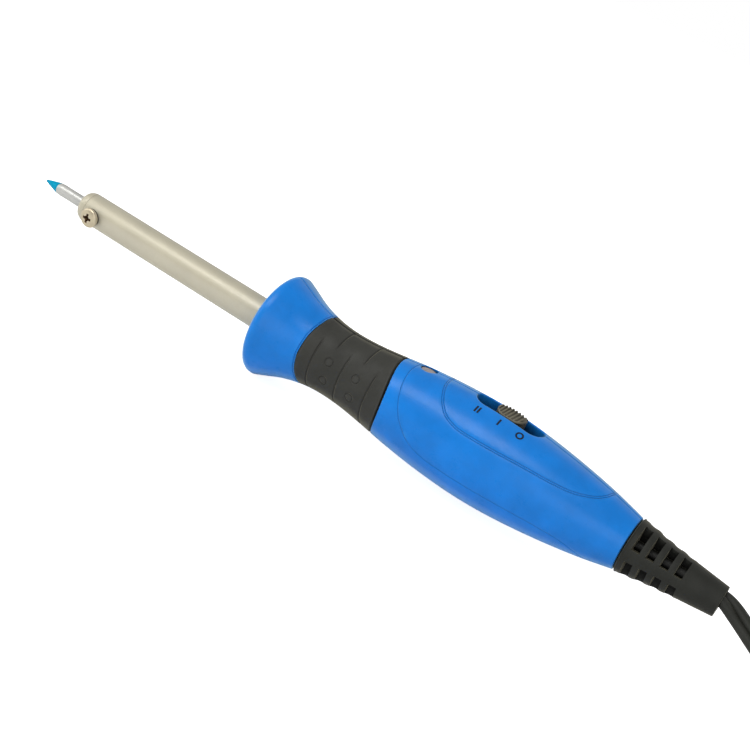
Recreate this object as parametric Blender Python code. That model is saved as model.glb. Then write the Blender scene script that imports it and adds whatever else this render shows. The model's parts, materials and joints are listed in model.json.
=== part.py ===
"""Mains soldering iron with a two-heat slide switch, built as an assembly of separate pieces.

The tool lies along X with its tip towards -X. The switch is on top (+Z), and the two handle
shells part in the plane Y = 0. Pieces are modelled in the tool's own coordinates: x counted
from the point of the tip, y and z from the tool's long axis. The empty "tool_axis" then sets
the tool down on the bench, z = 0, with the middle of its overall length at x = 0.
"""
import math

import bmesh
import bpy
from mathutils import Matrix, Vector

MM = 0.001
GAP = 0.3 * MM                  # clearance between neighbouring pieces
TURN = 2 * math.pi

# Lengths along the tool, from the point of the tip
TIP_CONE_END = 7.5 * MM
TIP_REAR = 62.0 * MM
NOSE_FRONT = 17.4 * MM
TUBE_FRONT = 20.1 * MM
TIP_SCREW_X = 24.1 * MM
GUARD_FRONT = 94.0 * MM
GRIP_FRONT = 109.6 * MM
TUBE_REAR = 117.0 * MM
GRIP_REAR = 137.9 * MM
LAMP_X = 144.4 * MM
SWITCH_X = 171.5 * MM
CLAMP_X = 199.0 * MM
SHELL_REAR = 216.0 * MM
BOOT_REAR = 244.6 * MM
PLUG_REAR = 298.0 * MM
PLUG_FACE = 342.0 * MM
PIN_END = PLUG_FACE + 19.0 * MM

# Radii
TIP_R = 1.93 * MM
TUBE_R = 5.0 * MM
TUBE_WALL = 0.5 * MM
GUARD_LIP_R = 2.0 * MM
GUARD_LIP_END = 65              # degrees from the rear, where the lip runs into the flare
GUARD_R = 16.4 * MM
AXIS_HEIGHT = GUARD_R           # the guard's rim stands on the bench

# Outline of the handle: (distance from the tip, radius), in millimetres
HANDLE_OUTLINE = (
    (96.85, 16.21), (100.2, 14.8), (104.5, 13.0), (109.0, 11.68), (113.8, 10.8), (119.5, 10.47),
    (126.5, 10.8), (134.0, 11.7), (143.0, 12.98), (155.0, 14.14), (167.5, 14.64), (179.0, 14.2),
    (192.5, 12.7), (206.0, 10.45), (216.3, 8.1),
)
# Outline of the strain-relief boot behind the shells
BOOT_OUTLINE = (
    (216.3, 8.1), (221.0, 7.35), (226.0, 6.55), (233.0, 5.8), (239.0, 5.15), (244.6, 4.55),
)

# Handle construction
SHELL_WALL = 2.0 * MM
SHELL_STEPS = 24                # facets round a full turn
GRIP_THICK = 1.2 * MM
GUARD_BACK = 96.0 * MM          # inner side of the guard's face
RIB_FRONT = 105.3 * MM          # rib in front of the groove that holds the barrel flange
GROOVE = (106.6 * MM, 109.4 * MM)
GROOVE_R = 9.4 * MM
RIB_R = 6.5 * MM
NECK_R = 5.6 * MM               # hole in the rear wall, for the boot's neck
BOSS_R = 3.2 * MM
BOSS_REACH = 6.4 * MM
SHELL_SCREW_SITES = ((101.0 * MM, -8.8 * MM), (147.0 * MM, -8.2 * MM), (192.0 * MM, -7.4 * MM))
SCREW_SEAT = 3.5 * MM
SCREW_REACH = 5.0 * MM
SCREW_SHANK_R = 1.2 * MM
SCREW_HEAD_R = 2.2 * MM
SCREW_HEAD_HEIGHT = 1.7 * MM

# Cord clamp: a bridge on two posts of the left shell
CLAMP_SCREW_Z = (-4.7 * MM, 4.7 * MM)
CLAMP_PLATE_Y = (3.2 * MM, 4.4 * MM)
CLAMP_HALF = (2.5 * MM, 6.4 * MM)
CLAMP_POST_R = 1.7 * MM
CLAMP_POST_Y = (-8.4 * MM, 2.9 * MM)
CLAMP_SHANK_R = 0.8 * MM
CLAMP_HEAD_R = 1.6 * MM
CLAMP_SCREW_END = -3.0 * MM

# Slide switch: all heights are above the tool axis
SLOT_LENGTH = 22.3 * MM
SLOT_WIDTH = 8.3 * MM
SLOT_LINING = 2.0 * MM          # wall round the slot, reaching inwards
LINING_Z = (10.2 * MM, 12.0 * MM)
KNOB_LENGTH = 9.2 * MM
KNOB_WIDTH = 5.8 * MM
KNOB_BASE = 12.2 * MM
KNOB_TOP = 15.25 * MM
KNOB_CROWN = 0.9 * MM
KNOB_RIBS = 9
KNOB_RIB_HEIGHT = 0.28 * MM
STEM_HALF = (2.0 * MM, 1.6 * MM)
PLATE_HALF = (14.0 * MM, 4.6 * MM)
PLATE_TOP = 9.5 * MM
PLATE_THICK = 0.8 * MM
FOOT_HALF = (3.4 * MM, 3.6 * MM)
FOOT_LOW = 5.3 * MM
HOUSING_HALF = (12.0 * MM, 5.5 * MM)
HOUSING_Z = (1.0 * MM, 8.3 * MM)
HOUSING_WALL = 1.3 * MM
SWITCH_STEP = 7.1 * MM          # distance between the fixed contacts
CONTACT_HALF = (2.6 * MM, 3.0 * MM)
CONTACT_Z = (2.8 * MM, 3.5 * MM)
LEG_HALF = (0.8 * MM, 1.3 * MM)
LEG_LOW = -1.4 * MM
BRIDGE_HALF = (4.1 * MM, 2.6 * MM)
BRIDGE_Z = (4.4 * MM, 5.0 * MM)
BRIDGE_POINT_X = 3.2 * MM

# Indicator lamp
LENS_R = 2.4 * MM
LENS_FLANGE_R = 3.2 * MM
LENS_Z = (9.2 * MM, 10.0 * MM)  # flange under the shell
LENS_SUNK = 0.7 * MM
LENS_CROWN = 0.45 * MM
BULB_R = 1.5 * MM
BULB_Z = (3.5 * MM, 7.3 * MM)

# Flat two-core cable, boot and plug
CABLE_WIDTH = 5.4 * MM
CABLE_THICK = 3.3 * MM
CABLE_RISE = 1.25 * MM          # above the axis, through the boot
CABLE_LOW = 3.0 * MM            # its middle above the bench, at the lowest
CORE_START = 195.5 * MM         # where the cable's sheath ends inside the handle
CORE_R = 0.95 * MM
CRIMP = (151.0 * MM, 157.0 * MM)
CRIMP_R = 1.4 * MM
WIRE_FLOOR = -2.7 * MM          # height of the wires under the switch
BOOT_NECK_R = 5.3 * MM
BOOT_FLANGE = (4.0 * MM, 6.2 * MM)              # length and radius, inside the shells
BOOT_CORE_R = 2.4 * MM
BOOT_EDGE = 0.25 * MM
WINDOW_FIRST = 219.75 * MM
WINDOW_PITCH = 4.17 * MM
WINDOW_RINGS = 4
WINDOW_WIDTH = 2.45 * MM
WINDOW_HALF_ANGLE = math.radians(31)
PLUG_HEIGHT = 13.7 * MM
PLUG_DROP = PLUG_HEIGHT / 2 - AXIS_HEIGHT       # plug centre below the tool axis
# Plug body from back to front: (distance from its back, width, height), in millimetres
PLUG_STATIONS = (
    (0.0, 8.6, 6.6), (7.5, 10.0, 7.8), (11.0, 17.0, 10.4), (17.0, 30.0, 13.7),
    (23.0, 32.4, 13.7), (30.0, 33.0, 13.7), (44.0, 35.3, 13.7),
)
PIN_SPACING = 18.6 * MM
PIN_R = 2.0 * MM
PIN_SHAFT_R = 1.1 * MM
PIN_ROOT = PLUG_FACE - 8.0 * MM
PIN_BARE = PLUG_FACE + 10.0 * MM
SLEEVE_R = (1.4 * MM, 1.95 * MM)

# Hot end
NOSE_REAR = 31.0 * MM
TIP_SCREW_R = 1.45 * MM
TIP_SCREW_TILT = math.radians(7.5)  # below level
TIP_SCREW_HEAD_R = 3.15 * MM
TIP_SCREW_HEAD_HEIGHT = 1.7 * MM
WASHER_Y = 5.2 * MM
WASHER_R = 2.8 * MM
WASHER_THICK = 0.5 * MM
HEATER_FRONT = 33.0 * MM
HEATER_REAR = 92.0 * MM
HEATER_BORE = 2.25 * MM
HEATER_R = 2.95 * MM
COIL_SPAN = (36.0 * MM, 89.0 * MM)
COIL_R = 3.35 * MM
COIL_WIRE_R = 0.22 * MM
COIL_TURNS = 10
MICA_R = (3.85 * MM, 4.2 * MM)
INSULATOR = (96.0 * MM, 104.0 * MM)
FLANGE = (107.0 * MM, 109.0 * MM)
FLANGE_R = 9.0 * MM
LEAD_OFFSET = 1.6 * MM
LEAD_R = 0.45 * MM
LEAD_START = 94.0 * MM


# ---------------------------------------------------------------- scene and materials

def clear_scene():
    for obj in list(bpy.data.objects):
        bpy.data.objects.remove(obj, do_unlink=True)


def material(name, colour, roughness, metallic=0.0):
    found = bpy.data.materials.get(name)
    if found:
        return found
    made = bpy.data.materials.new(name)
    made.use_nodes = True
    shader = made.node_tree.nodes["Principled BSDF"]
    shader.inputs["Base Color"].default_value = (*colour, 1.0)
    shader.inputs["Roughness"].default_value = roughness
    shader.inputs["Metallic"].default_value = metallic
    return made


FINISHES = {
    "blue_plastic": ((0.010, 0.190, 0.680), 0.32, 0.0),
    "soft_grip": ((0.045, 0.045, 0.042), 0.55, 0.0),
    "black_rubber": ((0.038, 0.038, 0.033), 0.60, 0.0),
    "knob_plastic": ((0.090, 0.085, 0.065), 0.50, 0.0),
    "clear_lens": ((0.620, 0.520, 0.480), 0.15, 0.0),
    "satin_steel": ((0.580, 0.540, 0.480), 0.34, 1.0),
    "bright_steel": ((0.640, 0.640, 0.620), 0.25, 1.0),
    "plated_copper": ((0.660, 0.660, 0.650), 0.28, 1.0),
    "ceramic": ((0.780, 0.760, 0.700), 0.60, 0.0),
    "mica": ((0.520, 0.470, 0.360), 0.35, 0.0),
    "resistance_wire": ((0.320, 0.300, 0.280), 0.45, 1.0),
    "brass": ((0.720, 0.520, 0.200), 0.30, 1.0),
    "black_plastic": ((0.030, 0.030, 0.032), 0.45, 0.0),
    "brown_insulation": ((0.180, 0.070, 0.025), 0.50, 0.0),
    "lamp_glass": ((0.850, 0.450, 0.300), 0.10, 0.0),
}


# ---------------------------------------------------------------- modelling helpers

def finish_object(name, mesh_data, finish, location=(0.0, 0.0, 0.0)):
    """Close a bmesh into a named object with one material."""
    bmesh.ops.recalc_face_normals(mesh_data, faces=mesh_data.faces[:])
    mesh = bpy.data.meshes.new(name)
    mesh_data.to_mesh(mesh)
    mesh_data.free()
    mesh.shade_smooth()
    mesh.set_sharp_from_angle(angle=math.radians(35))
    obj = bpy.data.objects.new(name, mesh)
    obj.location = location
    bpy.context.scene.collection.objects.link(obj)
    if finish:
        mesh.materials.append(material(finish, *FINISHES[finish]))
    return obj


def lathe(name, outline, finish, steps=24, location=(0.0, 0.0, 0.0), axis="X"):
    """Turn (along, radius) points about an axis. A ring-shaped outline gives a tube."""
    bm = bmesh.new()
    verts = [bm.verts.new((along, 0.0, radius)) for along, radius in outline]
    pairs = list(zip(verts[:-1], verts[1:]))
    if outline[0][1] > 0.0 or outline[-1][1] > 0.0:
        pairs.append((verts[-1], verts[0]))
    edges = [bm.edges.new(pair) for pair in pairs]
    bmesh.ops.spin(bm, geom=verts + edges, cent=(0, 0, 0), axis=(1, 0, 0), angle=TURN,
                   steps=steps, use_merge=True)
    bmesh.ops.remove_doubles(bm, verts=bm.verts[:], dist=1e-7)
    bm.normal_update()
    cap_centres = [v for v in bm.verts if math.hypot(v.co.y, v.co.z) < 1e-7
                   and all(abs(face.normal.x) > 0.999 for face in v.link_faces)]
    bmesh.ops.dissolve_verts(bm, verts=cap_centres)
    if axis == "Y":
        bmesh.ops.rotate(bm, verts=bm.verts[:], matrix=Matrix.Rotation(math.pi / 2, 3, "Z"))
    if axis == "Z":
        bmesh.ops.rotate(bm, verts=bm.verts[:], matrix=Matrix.Rotation(-math.pi / 2, 3, "Y"))
    return finish_object(name, bm, finish, location)


def rod(name, start, end, radius, finish, steps=16, location=(0.0, 0.0, 0.0), axis="X"):
    outline = [(start, 0.0), (start, radius), (end, radius), (end, 0.0)]
    return lathe(name, outline, finish, steps, location, axis)


def tube(name, start, end, inner, outer, finish, steps=24):
    outline = [(start, inner), (start, outer), (end, outer), (end, inner)]
    return lathe(name, outline, finish, steps)


def box(name, low, high, finish=None):
    bm = bmesh.new()
    bmesh.ops.create_cube(bm, size=1.0)
    low, high = Vector(low), Vector(high)
    bmesh.ops.scale(bm, verts=bm.verts[:], vec=high - low)
    bmesh.ops.translate(bm, verts=bm.verts[:], vec=(low + high) / 2)
    return finish_object(name, bm, finish)


def loft(name, rings, finish):
    """Skin equal-sized rings of points and cap both ends."""
    bm = bmesh.new()
    rows = [[bm.verts.new(point) for point in ring] for ring in rings]
    count = len(rows[0])
    for row, following in zip(rows[:-1], rows[1:]):
        for i in range(count):
            j = (i + 1) % count
            bm.faces.new((row[i], row[j], following[j], following[i]))
    bm.faces.new(rows[0])
    bm.faces.new(rows[-1])
    return finish_object(name, bm, finish)


def combine(target, tool, operation):
    """Apply an exact Boolean and drop the tool object."""
    change = target.modifiers.new(operation.lower(), "BOOLEAN")
    change.operation = operation
    change.object = tool
    change.solver = "EXACT"
    bpy.context.view_layer.update()
    graph = bpy.context.evaluated_depsgraph_get()
    result = bpy.data.meshes.new_from_object(target.evaluated_get(graph))
    target.modifiers.clear()
    old = target.data
    result.name = old.name
    target.data = result
    bpy.data.meshes.remove(old)
    bpy.data.objects.remove(tool, do_unlink=True)
    return target


def cut(target, tool):
    return combine(target, tool, "DIFFERENCE")


def add(target, tool):
    return combine(target, tool, "UNION")


def capsule_ring(length, width, steps=6):
    """Points of a flat capsule centred on the origin, long side on the first axis."""
    radius = width / 2
    middle = length / 2 - radius
    points = []
    for side in (1, -1):
        for i in range(steps + 1):
            angle = -math.pi / 2 + math.pi * i / steps
            along = middle + radius * math.cos(angle)
            points.append((side * along, side * radius * math.sin(angle)))
    return points


def capsule_block(name, length, width, low, high):
    """Upright capsule-shaped block on the switch's centre line."""
    ring = capsule_ring(length, width)
    return loft(name, [[(SWITCH_X + u, v, z) for u, v in ring] for z in (low, high)], None)


def sweep(name, path, section, finish):
    """Carry a (side, up) section along a path that stays in the plane Y = const."""
    rings = []
    for i, point in enumerate(path):
        ahead = path[min(i + 1, len(path) - 1)]
        behind = path[max(i - 1, 0)]
        along = (Vector(ahead) - Vector(behind)).normalized()
        side = Vector((0.0, 1.0, 0.0))
        up = along.cross(side) * -1
        rings.append([Vector(point) + side * u + up * v for u, v in section])
    return loft(name, rings, finish)


def round_section(radius, steps=8):
    return [(radius * math.cos(TURN * i / steps), radius * math.sin(TURN * i / steps))
            for i in range(steps)]


def bezier(corners, steps):
    """Points of a cubic curve, without its first point."""
    p0, p1, p2, p3 = (Vector(corner) for corner in corners)
    points = []
    for i in range(1, steps + 1):
        t = i / steps
        s = 1 - t
        points.append(p0 * s ** 3 + p1 * 3 * s * s * t + p2 * 3 * s * t * t + p3 * t ** 3)
    return points


def smooth_outline(outline):
    """A function of x through an outline's points, with a smooth slope at each of them."""
    xs = [point[0] * MM for point in outline]
    rs = [point[1] * MM for point in outline]
    last = len(xs) - 1
    slopes = []
    for i in range(last + 1):
        a, b = max(i - 1, 0), min(i + 1, last)
        slopes.append((rs[b] - rs[a]) / (xs[b] - xs[a]))

    def radius(x):
        i = 0
        while i < last - 1 and x > xs[i + 1]:
            i += 1
        span = xs[i + 1] - xs[i]
        t = (x - xs[i]) / span
        rise = t * t * (3 - 2 * t)
        return (rs[i] * (1 - rise) + rs[i + 1] * rise
                + slopes[i] * span * t * (1 - t) ** 2 - slopes[i + 1] * span * t * t * (1 - t))

    return radius


handle_radius = smooth_outline(HANDLE_OUTLINE)
boot_radius = smooth_outline(BOOT_OUTLINE)


def spaced(start, end, count):
    return [start + (end - start) * i / (count - 1) for i in range(count)]


# ---------------------------------------------------------------- handle

def shell_outline():
    """Closed section of the handle wall, from the hole in the guard's face and round."""
    hole = TUBE_R + GAP
    recess = GRIP_THICK + GAP
    lip_x = GUARD_FRONT + GUARD_LIP_R
    lip_r = GUARD_R - GUARD_LIP_R
    points = [(GUARD_FRONT, hole)]
    points += [(lip_x + GUARD_LIP_R * math.cos(angle), lip_r + GUARD_LIP_R * math.sin(angle))
               for angle in spaced(math.pi, math.radians(GUARD_LIP_END), 6)]
    points += [(x, handle_radius(x)) for x in spaced(lip_x + 2.4 * MM, GRIP_FRONT, 6)]
    points += [(x, handle_radius(x) - recess) for x in spaced(GRIP_FRONT, GRIP_REAR, 7)]
    points += [(x, handle_radius(x)) for x in spaced(GRIP_REAR, SHELL_REAR, 12)]

    rear = SHELL_REAR - SHELL_WALL
    points += [(SHELL_REAR, NECK_R), (rear, NECK_R)]
    points += [(x, handle_radius(x) - SHELL_WALL) for x in spaced(rear, GRIP_REAR + SHELL_WALL, 9)]
    under_grip = recess + SHELL_WALL - 0.2 * MM
    points += [(x, handle_radius(x) - under_grip) for x in spaced(GRIP_REAR, 112.0 * MM, 5)]
    points += [(GROOVE[1], handle_radius(GROOVE[1]) - under_grip), (GROOVE[1], GROOVE_R)]
    points += [(GROOVE[0], GROOVE_R), (GROOVE[0], RIB_R), (RIB_FRONT, RIB_R)]
    points += [(x, handle_radius(x) - SHELL_WALL) for x in spaced(RIB_FRONT, 98.5 * MM, 4)]
    points += [(GUARD_BACK, GUARD_R - 3.0 * MM), (GUARD_BACK, hole)]
    return points


def keep_side(obj, side):
    """Keep one side of the parting plane, half a clearance away from it."""
    reach = 1.0
    near, far = sorted((side * GAP / 2, -side * reach))
    return cut(obj, box("waste", (-reach, near, -reach), (reach, far, reach), None))


def shell(name, side):
    """One moulded half of the handle, with its screw bosses and the lining of the switch slot."""
    obj = lathe(name, shell_outline(), "blue_plastic", SHELL_STEPS)
    around = 2 * SLOT_LINING
    add(obj, capsule_block("lining", SLOT_LENGTH + around, SLOT_WIDTH + around, *LINING_Z))
    keep_side(obj, side)
    for x, z in SHELL_SCREW_SITES:
        ends = sorted((side * GAP / 2, side * BOSS_REACH))
        add(obj, rod("boss", *ends, BOSS_R, None, 16, (x, 0.0, z), "Y"))
    if side < 0:
        for z in CLAMP_SCREW_Z:
            add(obj, rod("post", *CLAMP_POST_Y, CLAMP_POST_R, None, 12, (CLAMP_X, 0.0, z), "Y"))
    drill_shell(obj, side)


def drill_shell(obj, side):
    """Cut the switch slot, the lamp window and the screw holes."""
    outside = 20.0 * MM
    cut(obj, capsule_block("slot", SLOT_LENGTH, SLOT_WIDTH, LINING_Z[0] - 1 * MM, outside))
    window_r = LENS_R + GAP
    cut(obj, rod("window", LENS_Z[0], outside, window_r, None, 20, (LAMP_X, 0.0, 0.0), "Z"))
    hole_r = SCREW_SHANK_R + GAP
    for x, z in SHELL_SCREW_SITES:
        at = (x, 0.0, z)
        if side > 0:
            cut(obj, rod("shank", -outside, outside, hole_r, None, 12, at, "Y"))
            bore_r = SCREW_HEAD_R + GAP
            cut(obj, rod("counterbore", SCREW_SEAT - GAP, outside, bore_r, None, 16, at, "Y"))
        else:
            cut(obj, rod("pilot", -SCREW_REACH - GAP, outside, hole_r, None, 12, at, "Y"))
    if side < 0:
        for z in CLAMP_SCREW_Z:
            hole = (CLAMP_SCREW_END - GAP, outside, CLAMP_SHANK_R + GAP)
            cut(obj, rod("pilot", *hole, None, 10, (CLAMP_X, 0.0, z), "Y"))


def pan_screw(name, site, reach, shank_r, head, outward):
    """Pan-head screw along Y: reach is (seat, end of shank) and head is (radius, height)."""
    x, z = site
    seat, end = reach
    head_r, height = head
    shoulder = seat + outward * height * 0.55
    brow = seat + outward * height * 0.85
    top = seat + outward * height
    outline = [(end, 0.0), (end, shank_r), (seat, shank_r), (seat, head_r), (shoulder, head_r),
               (brow, head_r * 0.8), (top, head_r * 0.45), (top, 0.0)]
    obj = lathe(name, outline, "bright_steel", 16, (x, 0.0, z), "Y")
    long_half, short_half = head_r * 0.55, head_r * 0.09
    low_y, high_y = sorted((top - outward * height * 0.5, top + outward * height))
    for half_x, half_z in ((long_half, short_half), (short_half, long_half)):
        cut(obj, box("blade", (x - half_x, low_y, z - half_z), (x + half_x, high_y, z + half_z)))
    return obj


def build_handle():
    shell("shell_left", -1)
    shell("shell_right", 1)
    stations = spaced(GRIP_FRONT + GAP, GRIP_REAR - GAP, 8)
    outline = [(x, handle_radius(x)) for x in stations]
    outline += [(x, handle_radius(x) - GRIP_THICK) for x in reversed(stations)]
    for name, side in (("grip_left", -1), ("grip_right", 1)):
        keep_side(lathe(name, outline, "soft_grip", SHELL_STEPS), side)
    names = ("shell_screw_front", "shell_screw_middle", "shell_screw_rear")
    for name, site in zip(names, SHELL_SCREW_SITES):
        head = (SCREW_HEAD_R, SCREW_HEAD_HEIGHT)
        pan_screw(name, site, (SCREW_SEAT, -SCREW_REACH), SCREW_SHANK_R, head, 1)


# ---------------------------------------------------------------- hot end

def build_tip():
    point = [(0.0, 0.0), (0.6 * MM, 0.32 * MM), (5.25 * MM, 1.6 * MM), (6.4 * MM, 1.82 * MM)]
    bevel = 0.5 * MM
    shank = [(TIP_CONE_END, TIP_R), (TIP_REAR - bevel, TIP_R), (TIP_REAR, TIP_R - bevel), (TIP_REAR, 0.0)]
    lathe("tip", point + shank, "plated_copper")


def build_barrel():
    """Heater tube, and the collar in its mouth, which shows a rounded ring in front of it."""
    shoulder = TUBE_FRONT - 0.2 * MM
    spigot_r = TUBE_R - TUBE_WALL - GAP
    nose = [(NOSE_FRONT, HEATER_BORE)]
    nose += [(NOSE_FRONT + back * MM, TUBE_R - less * MM) for back, less in ((0, 0.9), (0.4, 0.3), (1, 0))]
    nose += [(shoulder, TUBE_R), (shoulder, spigot_r), (NOSE_REAR, spigot_r), (NOSE_REAR, HEATER_BORE)]
    collar = lathe("nose_collar", nose, "satin_steel")
    barrel = tube("barrel", TUBE_FRONT, TUBE_REAR, TUBE_R - TUBE_WALL, TUBE_R, "satin_steel")
    for obj in (collar, barrel):
        at = (TIP_SCREW_X, 0.0, 0.0)
        hole = rod("hole", -2 * TUBE_R, 0.0, TIP_SCREW_R + GAP, None, 16, at, "Y")
        hole.rotation_euler.x = TIP_SCREW_TILT
        cut(obj, hole)
    tube("barrel_flange", *FLANGE, TUBE_R + GAP, FLANGE_R, "satin_steel")


def build_tip_screw():
    bore = TIP_SCREW_R + GAP / 2
    outer = WASHER_Y + WASHER_THICK
    ring = [(-WASHER_Y, bore), (-WASHER_Y, WASHER_R), (-outer, WASHER_R), (-outer, bore)]
    washer = lathe("lock_washer", ring, "bright_steel", 24, (TIP_SCREW_X, 0.0, 0.0), "Y")
    reach = (-outer - GAP / 2, -TIP_R - GAP)
    head = (TIP_SCREW_HEAD_R, TIP_SCREW_HEAD_HEIGHT)
    screw = pan_screw("tip_screw", (TIP_SCREW_X, 0.0), reach, TIP_SCREW_R, head, -1)
    for obj in (washer, screw):
        obj.rotation_euler.x = TIP_SCREW_TILT


def build_heater():
    tube("heater_core", HEATER_FRONT, HEATER_REAR, HEATER_BORE, HEATER_R, "ceramic")
    tube("mica_sleeve", HEATER_FRONT, HEATER_REAR + 1 * MM, *MICA_R, "mica")
    insulator = rod("rear_insulator", *INSULATOR, MICA_R[1], "ceramic", 20)
    for y in (-LEAD_OFFSET, LEAD_OFFSET):
        past = 1 * MM
        ends = (INSULATOR[0] - past, INSULATOR[1] + past)
        cut(insulator, rod("hole", *ends, LEAD_R + GAP, None, 10, (0.0, y, 0.0)))
    build_coil()


def build_coil():
    """Resistance wire wound on the ceramic core."""
    per_turn = 10
    steps = COIL_TURNS * per_turn
    start, end = COIL_SPAN
    slope = (end - start) / (COIL_TURNS * TURN * COIL_R)
    rings = []
    for i in range(steps + 1):
        angle = TURN * i / per_turn
        out = Vector((0.0, math.cos(angle), math.sin(angle)))
        along = Vector((slope, -math.sin(angle), math.cos(angle))).normalized()
        across = out.cross(along)
        centre = out * COIL_R + Vector((start + (end - start) * i / steps, 0.0, 0.0))
        rings.append([centre + out * u + across * v for u, v in round_section(COIL_WIRE_R, 4)])
    loft("heater_winding", rings, "resistance_wire")


# ---------------------------------------------------------------- switch, lamp and wiring

def slab(name, half, z_range, finish=None, x=SWITCH_X, y=0.0):
    """Box centred on (x, y), with half sizes along x and y."""
    low = (x - half[0], y - half[1], z_range[0])
    return box(name, low, (x + half[0], y + half[1], z_range[1]), finish)


def build_knob():
    """Ribbed, crowned knob with round ends, and the stem that goes down into the slider."""
    radius = KNOB_WIDTH / 2
    straight = KNOB_LENGTH / 2 - radius
    end = 0.97                  # stops short of the very tip, where the width would vanish
    rings = []
    for u in spaced(-end, end, KNOB_RIBS * 4 + 1):
        along = u * KNOB_LENGTH / 2
        into_end = max(abs(along) - straight, 0.0)
        wide = math.sqrt(radius ** 2 - into_end ** 2)
        rib = KNOB_RIB_HEIGHT * math.cos(math.pi * KNOB_RIBS * u)
        top = KNOB_TOP - KNOB_CROWN * u * u - KNOB_RIB_HEIGHT + rib
        edge = top - 0.7 * MM
        section = ((-wide, KNOB_BASE), (-wide, edge), (-wide * 0.6, top), (wide * 0.6, top),
                   (wide, edge), (wide, KNOB_BASE))
        rings.append([(SWITCH_X + along, y, z) for y, z in section])
    knob = loft("switch_knob", rings, "knob_plastic")
    bite = 0.5 * MM
    add(knob, slab("stem", STEM_HALF, (PLATE_TOP - 3 * bite, KNOB_BASE + bite)))


def build_slider():
    slider = slab("switch_slider", PLATE_HALF, (PLATE_TOP - PLATE_THICK, PLATE_TOP), "black_plastic")
    add(slider, slab("foot", FOOT_HALF, (FOOT_LOW, PLATE_TOP - PLATE_THICK / 2)))
    socket = (STEM_HALF[0] + GAP, STEM_HALF[1] + GAP)
    cut(slider, slab("socket", socket, (PLATE_TOP - 1.8 * MM, PLATE_TOP + 1 * MM)))
    bridge = slab("contact_bridge", BRIDGE_HALF, BRIDGE_Z, "brass")
    point = (0.7 * MM, 1.0 * MM)
    for x in (SWITCH_X - BRIDGE_POINT_X, SWITCH_X + BRIDGE_POINT_X):
        add(bridge, slab("point", point, (BRIDGE_Z[0] - 0.5 * MM, BRIDGE_Z[0] + 0.2 * MM), x=x))


def build_switch():
    housing = slab("switch_housing", HOUSING_HALF, HOUSING_Z, "black_plastic")
    room = (HOUSING_HALF[0] - HOUSING_WALL, HOUSING_HALF[1] - HOUSING_WALL)
    cut(housing, slab("room", room, (HOUSING_Z[0] + HOUSING_WALL, HOUSING_Z[1] + 1 * MM)))
    hole = (LEG_HALF[0] + GAP, LEG_HALF[1] + GAP)
    for i, name in enumerate(("contact_high", "contact_common", "contact_low")):
        x = SWITCH_X + (i - 1) * SWITCH_STEP
        cut(housing, slab("leg_hole", hole, (LEG_LOW, CONTACT_Z[0]), x=x))
        pad = slab(name, CONTACT_HALF, CONTACT_Z, "brass", x)
        add(pad, slab("leg", LEG_HALF, (LEG_LOW, CONTACT_Z[0] + 0.2 * MM), x=x))
    build_slider()
    build_knob()


def domed(low, high, radius, crown, steps):
    """Outline of an upright rod whose top is a dome."""
    points = [(low, 0.0), (low, radius)]
    points += [(high + crown * math.sin(angle), radius * math.cos(angle))
               for angle in spaced(0.0, math.pi / 2, steps)[:-1]]
    return points + [(high + crown, 0.0)]


def leaded_part(name, at, radius, finish):
    """Resistor or diode body with a wire out of each end."""
    half_body, half_length, wire_r = 3.0 * MM, 7.0 * MM, 0.35 * MM
    outline = [(-half_length, 0.0), (-half_length, wire_r), (-half_body, wire_r), (-half_body, radius)]
    outline += [(-along, r) for along, r in reversed(outline)]
    lathe(name, outline, finish, 12, at)


def build_lamp():
    crown_base = handle_radius(LAMP_X) - LENS_SUNK
    lens = [(LENS_Z[0], 0.0), (LENS_Z[0], LENS_FLANGE_R), (LENS_Z[1], LENS_FLANGE_R)]
    lens += domed(LENS_Z[1], crown_base, LENS_R, LENS_CROWN, 5)[1:]
    lathe("light_window", lens, "clear_lens", 20, (LAMP_X, 0.0, 0.0), "Z")
    bulb = domed(*BULB_Z, BULB_R, BULB_R, 4)
    lathe("indicator_lamp", bulb, "lamp_glass", 12, (LAMP_X, 0.0, 0.0), "Z")
    leaded_part("lamp_resistor", (LAMP_X, 4.6 * MM, 4.0 * MM), 1.1 * MM, "ceramic")
    leaded_part("power_diode", (163.0 * MM, 4.0 * MM, -4.5 * MM), 1.4 * MM, "black_plastic")


def wire_down(y, level_from):
    """From inside a crimp sleeve down to the level under the switch."""
    inside, bend = CRIMP[0] + 2.5 * MM, CRIMP[1] + 1.5 * MM
    corners = ((bend, y, 0.0), (bend + 3 * MM, y, 0.0), (level_from - 4 * MM, y, WIRE_FLOOR),
               (level_from, y, WIRE_FLOOR))
    return [(inside, y, 0.0), (bend, y, 0.0)] + bezier(corners, 5)


def wire_up(y):
    """From the level under the switch up to the end of the cable's sheath."""
    level_to = CORE_START - 9.5 * MM
    corners = ((level_to, y, WIRE_FLOOR), (level_to + 5 * MM, y, WIRE_FLOOR),
               (level_to + 4 * MM, y, 0.0), (CORE_START, y, 0.0))
    return [(level_to, y, WIRE_FLOOR)] + bezier(corners, 6)


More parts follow.
